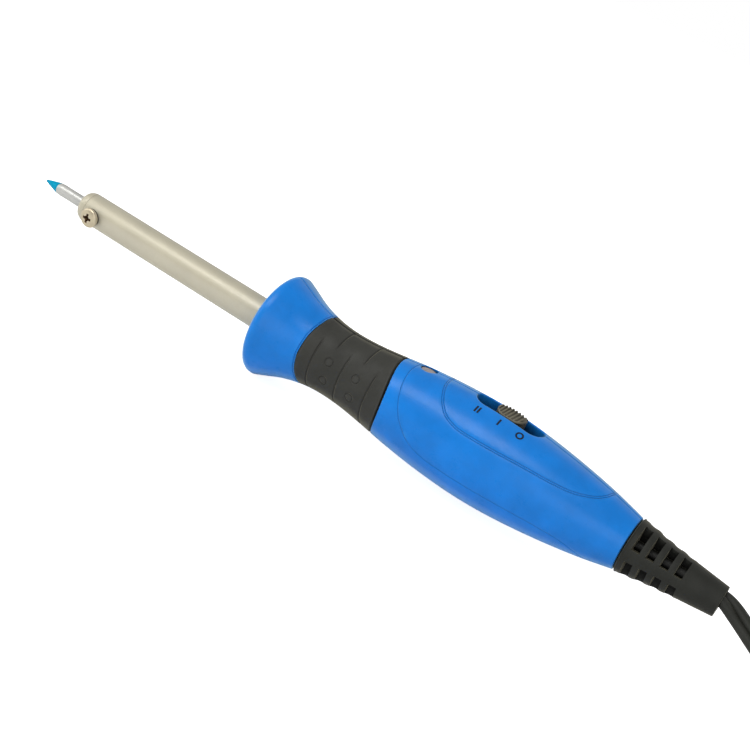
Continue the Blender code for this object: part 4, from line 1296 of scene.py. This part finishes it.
def along_screw(points):
    """(along, side, x) measured on the tip screw's axis to the tool's millimetres."""
    out = np.array(SCREW_AXIS)
    side = np.array((0, out[2], -out[1]))
    return (points[:, :1] * out + points[:, 1:2] * side
            + points[:, 2:] * np.array((1, 0, 0)) + np.array((TIP_SCREW_X, 0, 0)))


def on_screw(rings):
    return [along_screw(ring) for ring in rings]


def bit_radius(x):
    return float(np.interp(x, *zip(*BIT_OUTLINE)))


def build_tip():
    """The plated bit, and the blue protective dip on its point."""
    edge_r = bit_radius(DIP_END)
    bit = [(0.12, 0.0), (0.14, 0.14), (0.25, 0.26)]
    bit += [(x, bit_radius(x) - BIT_UNDER) for x in np.arange(0.6, DIP_END - 0.2, 0.5)]
    bit += [(DIP_END - 0.1, edge_r - BIT_UNDER), (DIP_END, edge_r - 0.02)]
    bit += [(x, bit_radius(x)) for x in np.arange(5.9, 9.2, 0.3)]
    bit += [(TIP_REAR - 0.4, TIP_R), (TIP_REAR - 0.1, TIP_R - 0.15), (TIP_REAR, TIP_R - 0.4),
            (TIP_REAR, 0.0)]
    revolve("bit", bit, TIP, "tip", 72, replaced="tip")
    dip = [(0.0, 0.0), (0.02, 0.2), (0.12, 0.36), (0.3, 0.45)]
    dip += [(x, bit_radius(x) + DIP_OVER) for x in np.arange(0.6, DIP_END - 0.15, 0.35)]
    dip += [(DIP_END - 0.12, edge_r + 0.04), (DIP_END - 0.02, edge_r + 0.01),
            (DIP_END + 0.02, edge_r - 0.03), (DIP_END - 0.05, edge_r - 0.05)]
    dip += [(x, bit_radius(x) - 0.05) for x in (4.0, 2.0, 0.6)] + [(0.4, 0.0)]
    revolve("tip_dip", dip, DIP, "tip", 72)


def build_barrel():
    """The heater tube, and the nose ring whose lip turns in towards the bit."""
    inner = TUBE_R - TUBE_WALL
    tube = [(TUBE_FRONT, inner), (TUBE_FRONT, TUBE_R), (TUBE_REAR, TUBE_R), (TUBE_REAR, inner)]
    barrel = revolve("tube", soften(tube, TUBE_EDGE), BARREL, "handle", 128,
                     replaced="barrel")
    back = TUBE_FRONT - 0.06
    nose = [(NOSE_FRONT, NOSE_R)]
    nose += arc(NOSE_FRONT + NOSE_LIP_R, TUBE_R - 0.95, NOSE_LIP_R, math.pi, math.pi / 2 + 0.55, 5)
    nose += [(NOSE_FRONT + 1.0, TUBE_R - 0.18), (NOSE_FRONT + 1.6, TUBE_R - 0.05),
             (back - 0.25, TUBE_R), (back - 0.05, TUBE_R - 0.03), (back, TUBE_R - 0.12),
             (back, inner - 0.1), (NOSE_END, inner - 0.1), (NOSE_END, NOSE_R)]
    collar = revolve("nose_ring", nose, BARREL, "handle", 128,
                     replaced="nose_collar")
    for piece in (barrel, collar):
        subtract(piece, [on_screw(rod_rings(1.0, 9.0, SCREW_HOLE_R))], 40)


def build_screw():
    """Pan-head screw with a cross recess."""
    side_r = HEAD_R - 0.02
    tip_y = TIP_R + 0.3
    outline = [(tip_y, 0.0), (tip_y, SHANK_R - 0.25), (tip_y + 0.25, SHANK_R), (HEAD_SEAT, SHANK_R),
               (HEAD_SEAT, HEAD_R - 0.12), (HEAD_SEAT + 0.12, HEAD_R), (HEAD_SIDE - 0.1, HEAD_R),
               (HEAD_SIDE, side_r)]
    for turn in steps(0, math.pi / 2, 12)[1:-1]:
        rise = (HEAD_TOP - HEAD_SIDE) * math.sin(turn) ** 0.9
        outline.append((HEAD_SIDE + rise, side_r * math.cos(turn)))
    outline.append((HEAD_TOP, 0.0))
    head = revolve("cross_screw", outline, SCREW, "tip_screw", 72,
                   frame_of=along_screw, replaced="tip_screw")
    arms = [box_rings((CROSS_FLOOR, -y, -z), (HEAD_TOP + 1, y, z), CROSS_TAPER)
            for y, z in ((CROSS_LONG, CROSS_WIDE), (CROSS_WIDE, CROSS_LONG))]
    pit = rod_rings(CROSS_FLOOR - 0.2, HEAD_TOP + 0.2, 0.35, 1.0, 24)
    subtract(head, [on_screw(rings) for rings in (*arms, pit)], 35)
    head.data.materials.append(RECESS)
    floor = Vector(place(along_screw(np.array(((CROSS_FLOOR, 0.0, 0.0),))))[0])
    for face in head.data.polygons:
        offset = (face.center - floor) / MM
        height = offset.dot(SCREW_AXIS)
        aside = (offset - SCREW_AXIS * height).length
        steep = face.normal.dot(SCREW_AXIS) < 0.5
        if -0.4 < height < 1.12 and aside < 2.1 and (steep or height < 0.2):
            face.material_index = 1


def build_washer():
    """Split spring washer: a flat ring, open on one side and wound a little."""
    section = soften([(-WASHER_HALF, WASHER_INNER), (-WASHER_HALF, WASHER_OUTER),
                      (WASHER_HALF, WASHER_OUTER), (WASHER_HALF, WASHER_INNER)], WASHER_EDGE)
    turns = np.linspace(math.radians(6), math.radians(352), 90) + 2.2
    rings = [np.array([(WASHER_Y + a * WASHER_SQUASH + lean, r * math.sin(turn), r * math.cos(turn))
                       for a, r in section])
             for turn, lean in zip(turns, np.linspace(-WASHER_LEAN, WASHER_LEAN, 90))]
    sweep("spring_washer", on_screw(rings), WASHER_STEEL_AND_SHADE, "lock_washer",
          replaced="lock_washer")


# ------------------------------------------------------------------ switch knob and its marks

# Thumb slide: sizes in plan, and heights over the long axis
KNOB_X = SWITCH_X + 0.3
KNOB_HALF = 4.5
KNOB_WIDE = 3.5
KNOB_END = 0.7
KNOB_ROUND = 3.5
KNOB_FOOT = 0.7
KNOB_BASE = 12.2
KNOB_RIM = 13.6
KNOB_RIM_RISE = 0.5
KNOB_CREST = 15.9
KNOB_SAG = 0.6
KNOB_CROWN = 2.0
KNOB_NOSE = 0.9
KNOB_EDGE = 0.2
KNOB_INSETS = np.array((0, 0.02, 0.06, 0.12, 0.2, 0.25, 0.3, 0.36))
RIBS = 8
RIB_PITCH = 1.06
RIB_DEPTH = 0.42
RIB_BOW = 1.25
STEM_FOOT = 8.4
STEM_LONG = 2
STEM_WIDE = 1.3


def knob_dip(x, y, inset):
    """Depth of the bowed grooves between the ribs; they stop short of the smooth lip."""
    along = x - RIB_BOW * (0.4 - (y / KNOB_WIDE) ** 2)
    wave = np.clip(0.5 - 0.8 * np.cos(2 * np.pi * along / RIB_PITCH), 0, 1)
    wave = np.where(np.abs(along) < RIBS / 2 * RIB_PITCH, wave, 0)
    return RIB_DEPTH * wave * np.clip((inset - KNOB_EDGE) / 0.15, 0, 1)


def build_knob():
    """Thumb slide: a crowned cap with round ends, a smooth lip and bowed ribs across its top."""
    rings = []
    for x in np.linspace(-KNOB_HALF, KNOB_HALF, 199):
        into = max(abs(x) - (KNOB_HALF - KNOB_ROUND), 0.0) / KNOB_ROUND
        wide = KNOB_END + (KNOB_WIDE - KNOB_END) * math.sqrt(max(1 - into ** 2, 0.0))
        inner = np.linspace(-1, 1, 25)[1:-1] * (wide - KNOB_INSETS[-1])
        y = np.concatenate([KNOB_INSETS - wide, inner, (wide - KNOB_INSETS)[::-1]])
        inset = wide - np.abs(y)
        nose = max(abs(x) - (KNOB_HALF - 1.0), 0.0)
        z = KNOB_CREST - KNOB_SAG * (x / KNOB_HALF) ** 2 - KNOB_CROWN * (y / KNOB_WIDE) ** 2
        z = z - KNOB_NOSE * (1 - math.sqrt(max(1 - nose ** 2, 0.0)))
        z = z - fillet(inset, KNOB_EDGE) - knob_dip(x, y, inset)
        foot = wide * KNOB_FOOT
        lip = KNOB_RIM + KNOB_RIM_RISE * into ** 2
        low = [(wide, lip), (foot, lip - 0.1), (foot, KNOB_BASE),
               (-foot, KNOB_BASE), (-foot, lip - 0.1), (-wide, lip)]
        rings.append(np.array([(KNOB_X + x, v, w) for v, w in [*zip(y, z), *low]]))
    sweep("thumb_slide", rings, KNOB, "switch_slider", 40, replaced="switch_knob")
    stem = box_rings((SWITCH_X - STEM_LONG, -STEM_WIDE, STEM_FOOT),
                     (SWITCH_X + STEM_LONG, STEM_WIDE, KNOB_BASE + 0.2))
    sweep("slide_stem", stem, DARK, "switch_slider")


# Printed marks: two bars, one bar and a ring, at these places along the handle
MARK_ANGLE = math.radians(29)
MARK_ONE_X = SWITCH_X - 0.45
MARK_TWO_X = MARK_ONE_X - 7.0
MARK_OFF_X = MARK_ONE_X + 6.8
MARK_RISE = 0.02
MARK_SINK = 0.12
BAR_LENGTH = 2.4
BAR_WIDTH = 0.54
BAR_APART = 0.94
RING_OUTER = 1.25
RING_INNER = 0.73
RING_LONG = 0.96
RING_ROUND = 1.04


def printed(name, strips, closed=False):
    """A thin mark on the near shell, from strips that each have two edges of (x, angle)."""
    points, faces = [], []
    for strip in strips:
        rings = []
        for pair in zip(*strip):
            x, angle = np.array(pair).T
            u = SHELL.from_x(x)
            top, low = (SHELL.point(u, angle, -1, sink) for sink in (-MARK_RISE, MARK_SINK))
            rings.append(np.vstack((top, low[::-1])))
        first = sum(len(ring) for ring in points)
        faces += [tuple(first + k for k in face) for face in ring_faces(rings, closed)]
        points += rings
    solid(name, np.vstack(points), faces, INK, "handle")


def bar(x):
    """The two edges of a bar that runs round the handle."""
    half = BAR_LENGTH / 2 / SHELL.radius(x)
    turns = MARK_ANGLE + np.linspace(-half, half, 9)
    return [[(x + side * BAR_WIDTH / 2, turn) for turn in turns] for side in (-1, 1)]


def ring_edge(x, size):
    turns = TAU * np.arange(48) / 48
    along = x + size * RING_LONG * np.cos(turns)
    return list(zip(along, MARK_ANGLE + size * RING_ROUND * np.sin(turns) / SHELL.radius(x)))


def build_marks():
    printed("mark_two", [bar(MARK_TWO_X + side * BAR_APART / 2) for side in (-1, 1)])
    printed("mark_one", [bar(MARK_ONE_X)])
    printed("mark_off", [[ring_edge(MARK_OFF_X, size) for size in (RING_OUTER, RING_INNER)]], True)


# ------------------------------------------------------------------ boot, cable and plug

# Openings of the boot: four rings of four
WINDOW_FIRST = 219.75
WINDOW_PITCH = 4.17
WINDOW_WIDTH = 2.45
WINDOW_HALF = math.radians(31)
WINDOW_REACH = 11.0
BOOT_WALL_IN = 2.6
BOOT_START = SHELL_END + 0.28
BOOT_NECK_R = 5.3
BOOT_FLANGE_R = 6.2
BOOT_CORNER = 0.3
BOOT_FRONT_R = 8.0
BOOT_END_R = 4.4
BOOT_WAVE = 0.1
# Flat twin flex; it rises in the boot, dips to the bench and climbs to the plug
CABLE_START = 196.1
CABLE_WIDE = 5.4
CABLE_THICK = 3.3
CABLE_RISE = 1.25
CABLE_LOW = 3.0
CABLE_SLOPE = -0.267
CABLE_PINCH = 0.3
CABLE_TWIST = 1.15
CABLE_HOLE = 1.1


def boot_outline():
    """Boot with a faint waist between its rings of openings."""
    points = []
    for x, r in smooth_outline(BOOT_OUTLINE, 0.25):
        if BOOT_START + 0.4 <= x < BOOT_REAR - 0.2:
            ring = (x - WINDOW_FIRST) / WINDOW_PITCH
            share = min(1.0, (ring + 0.5) * 3, (3.5 - ring) * 3) if -0.5 < ring < 3.5 else 0.0
            points.append((x, r - share * BOOT_WAVE * (math.cos(TAU * ring) - 0.2)))
    return points


BOOT_SKIN = Profile(straight((BOOT_START, 4.9), (BOOT_START, BOOT_FRONT_R), 0.5)
                    + arc(BOOT_START + BOOT_CORNER, BOOT_FRONT_R, BOOT_CORNER, math.pi, math.pi / 2, 4)
                    + boot_outline()
                    + arc(BOOT_REAR - 0.15, BOOT_END_R, 0.15, math.pi / 2, 0, 4)
                    + straight((BOOT_REAR, BOOT_END_R), (BOOT_REAR, 3.6), 0.4))


def cubic(corners, count):
    """Points on a curve with four guiding corners, without its first one."""
    p = [np.array(c, float) for c in corners]
    return [p[0] * (1 - t) ** 3 + 3 * p[1] * (1 - t) ** 2 * t + 3 * p[2] * (1 - t) * t * t
            + p[3] * t ** 3 for t in steps(0, 1, count)[1:]]


def cable_path():
    """The cable's middle line as (x, z) points, from the clamp through the boot to the plug."""
    low = CABLE_LOW - ORIGIN[2] / MM
    out_x, out_z, low_x = BOOT_REAR + 0.9, 0.85, BOOT_REAR + 38.4
    bend = [(SHELL_REAR - back, 0.0) for back in (14.5, 11)]
    bend += [(SHELL_REAR - back, CABLE_RISE) for back in (10.5, 7)]
    dive = [(BOOT_REAR - 6.6, CABLE_RISE), (BOOT_REAR - 3.6, CABLE_RISE),
            (out_x - 2.5, out_z - 2.5 * CABLE_SLOPE), (out_x, out_z)]
    fall = [(out_x, out_z), (out_x + 7, out_z + 7 * CABLE_SLOPE), (low_x - 14, low), (low_x, low)]
    climb = [(low_x, low), (low_x + 6, low), (PLUG_REAR - 7, PLUG_Z), (PLUG_REAR, PLUG_Z)]
    inside = [np.array((x, CABLE_RISE)) for x in steps(SHELL_REAR - 7, BOOT_REAR - 6.6, 12)[1:]]
    return ([np.array((CABLE_START, 0.0)), np.array(bend[0])] + cubic(bend, 6) + inside
            + cubic(dive, 8) + cubic(fall, 44) + cubic(climb, 18)
            + [np.array((PLUG_REAR + 15.5, PLUG_Z))])


def cable_section(turn):
    """Flat twin flex: two round cores side by side with a groove between them."""
    radius = CABLE_THICK / 2
    offset = CABLE_WIDE / 2 - radius
    points = []
    for k in range(48):
        y, z = math.sin(TAU * k / 48), math.cos(TAU * k / 48)
        out = max(0.0, abs(y) * offset + math.sqrt(max(radius ** 2 - (z * offset) ** 2, 0)))
        out -= CABLE_PINCH * math.exp(-((y * out) / 0.55) ** 2)
        points.append((y * out, z * out))
    c, s = math.cos(turn), math.sin(turn)
    return [(y * c - z * s, y * s + z * c) for y, z in points]


def cable_rings(path, grow=1.0):
    """Rings of the flex along its path; it leans over once it has left the boot."""
    rings = []
    side = np.array((0.0, 1.0, 0.0))
    for i, (x, z) in enumerate(path):
        ahead = path[min(i + 1, len(path) - 1)] - path[max(i - 1, 0)]
        ahead = ahead / np.linalg.norm(ahead)
        up = np.array((-ahead[1], 0.0, ahead[0]))
        past = min(np.clip((x - BOOT_REAR + 4) / 11, 0, 1), np.clip((PLUG_REAR - 4 - x) / 12, 0, 1))
        section = cable_section(CABLE_TWIST * past * past * (3 - 2 * past))
        rings.append(np.array([(x, 0, z) + side * v * grow + up * w * grow for v, w in section]))
    return rings


def build_cable():
    sweep("twin_flex", cable_rings(cable_path()), CABLE, "handle", 60,
          replaced="mains_cable")


def boot_window(ring, quarter):
    """Rings of the cutter for one opening of the boot."""
    middle_turn = math.pi / 4 + quarter * math.pi / 2
    inner = [(BOOT_WALL_IN, middle_turn + WINDOW_HALF * share) for share in steps(-1, 1, 8)]
    outer = [(WINDOW_REACH, turn) for radius, turn in reversed(inner)]
    x = WINDOW_FIRST + ring * WINDOW_PITCH
    return [np.array([(end, radius * math.sin(turn), radius * math.cos(turn))
                      for radius, turn in inner + outer])
            for end in (x - WINDOW_WIDTH / 2, x + WINDOW_WIDTH / 2)]


def build_boot():
    """The boot with its inner flange, its openings and the cable's hole."""
    inside = SHELL_REAR - WALL - 0.2
    body = [(BOOT_FRONT_INSIDE, 0.0), (BOOT_FRONT_INSIDE, BOOT_FLANGE_R - 0.2),
            (BOOT_FRONT_INSIDE + 0.2, BOOT_FLANGE_R), (inside - 0.2, BOOT_FLANGE_R),
            (inside, BOOT_FLANGE_R - 0.2), (inside, BOOT_NECK_R), (BOOT_START, BOOT_NECK_R)]
    body += [(float(x), float(r)) for x, r in zip(BOOT_SKIN.x, BOOT_SKIN.r)
             if r > BOOT_NECK_R or x > BOOT_START + 1]
    body += [(BOOT_REAR, 0.0)]
    boot = revolve("ribbed_boot", body, BOOT, "handle", 120,
                   replaced="strain_boot")
    cutters = [boot_window(ring, quarter) for ring in range(4) for quarter in range(4)]
    cutters.append(cable_rings([p for p in cable_path() if p[0] < BOOT_REAR + 6], CABLE_HOLE))
    subtract(boot, cutters, 38)


# Plug stations: (distance from its rear, width, height)
PLUG_STATIONS = (
    (0, 8.6, 6.6), (7.5, 10, 7.8), (11, 17, 10.4), (17, 30, 13.7), (23, 32.4, 13.7),
    (30, 33, 13.7), (44, 35.3, 13.7),
)
PLUG_CORNER = 3.2
PLUG_GRIP_END = 7.4
PLUG_GRIP_PITCH = 1.48
PLUG_GRIP_DEPTH = 0.22
PLUG_REAR_EDGE = 0.6
PLUG_FACE_EDGE = 0.8
PIN_R = 1.97
PIN_NECK_R = 1.35
PIN_BARE_X = 351.8
SLEEVE_R = 1.93


def plug_ring(back, width, height):
    radius = min(height * 0.38, PLUG_CORNER)
    points = []
    for corner, (sy, sz) in enumerate(((1, 1), (-1, 1), (-1, -1), (1, -1))):
        y, z = sy * (width / 2 - radius), PLUG_Z + sz * (height / 2 - radius)
        for turn in steps(math.pi / 2 * corner, math.pi / 2 * (corner + 1), 8):
            points.append((PLUG_REAR + back, y + radius * math.cos(turn), z + radius * math.sin(turn)))
    return np.array(points)


def build_plug():
    """Flat moulded plug with grip steps at its rear and a rounded edge round its face."""
    back, wide, high = np.array(PLUG_STATIONS, float).T
    places = np.concatenate((np.linspace(0, PLUG_GRIP_END, 38), np.linspace(7.6, 17, 26),
                             np.linspace(17.4, 43.2, 40), (43.5, 43.75, 43.92, 44.0)))
    rings = []
    for b in places:
        near = b + np.linspace(-1.2, 1.2, 7)
        waist = 2 * fillet(b, PLUG_REAR_EDGE)
        if b < PLUG_GRIP_END:
            waist += PLUG_GRIP_DEPTH * (1 - math.cos(TAU * b / PLUG_GRIP_PITCH))
        edge = 2 * fillet(back[-1] - b, PLUG_FACE_EDGE)
        width = min(np.mean(np.interp(near, back, wide)) - waist, PLUG_WIDTH)
        height = min(np.mean(np.interp(near, back, high)) - waist, PLUG_HEIGHT)
        rings.append(plug_ring(b, width - edge, height - edge))
    sweep("plug_moulding", rings, PLUG, "handle", 40, replaced="plug_body")


def build_pins():
    """The two round pins, each with an insulating sleeve on its neck."""
    pin = [(PLUG_FACE - 3.0, 0.0), (PLUG_FACE - 3.0, PIN_NECK_R), (PIN_BARE_X, PIN_NECK_R),
           (PIN_BARE_X, PIN_R), (PIN_END - 2.2, PIN_R), (PIN_END - 1.2, 1.85),
           (PIN_END - 0.5, 1.5), (PIN_END - 0.12, 0.9), (PIN_END, 0.0)]
    sleeve = [(PLUG_FACE - 2.9, 1.4), (PLUG_FACE - 2.9, 1.9), (PIN_BARE_X - 0.1, SLEEVE_R),
              (PIN_BARE_X - 0.1, 1.4)]
    for side, end, node in ((-1, "near", "left"), (1, "far", "right")):
        def at(points, side=side):
            return points + np.array((0, side * PIN_Y, PLUG_Z))

        revolve("pin_" + end, soften(pin, 0.08, 2), BRIGHT, "handle", 56,
                frame_of=at, replaced="plug_pin_" + node)
        revolve("sleeve_" + end, soften(sleeve, 0.1, 2), DARK, "handle", 56,
                frame_of=at, replaced="pin_sleeve_" + node)


# Lamp jewel: radii, and heights over the long axis
LENS_R = 2.4
LENS_FLANGE_R = 3.2
LENS_FOOT = 9.2
LENS_STEP = 10.0
LENS_SUNK = 0.25
LENS_CROWN = 0.5


def build_lens():
    """Jewel over the lamp: a low dome on a stem with a flange inside the handle."""
    top = float(SHELL.radius(LAMP_X)) - LENS_SUNK
    crown = [(top - LENS_CROWN * share ** 2, LENS_R * share) for share in steps(1, 0, 10)]
    outline = [(LENS_FOOT, 0.0), (LENS_FOOT, LENS_FLANGE_R), (LENS_STEP, LENS_FLANGE_R),
               (LENS_STEP, LENS_R), (crown[0][0] - 0.2, LENS_R)]

    def upright(points):
        return np.stack((points[:, 1] + LAMP_X, points[:, 2], points[:, 0]), axis=1)

    revolve("lamp_jewel", outline + crown, LENS, "handle", 64, frame_of=upright,
            replaced="light_window")


build_shells()
build_pads()
build_tip()
build_barrel()
build_screw()
build_washer()
build_knob()
build_marks()
build_lens()
build_boot()
build_cable()
build_plug()
build_pins()
dress_frame()
studio()
photographer()
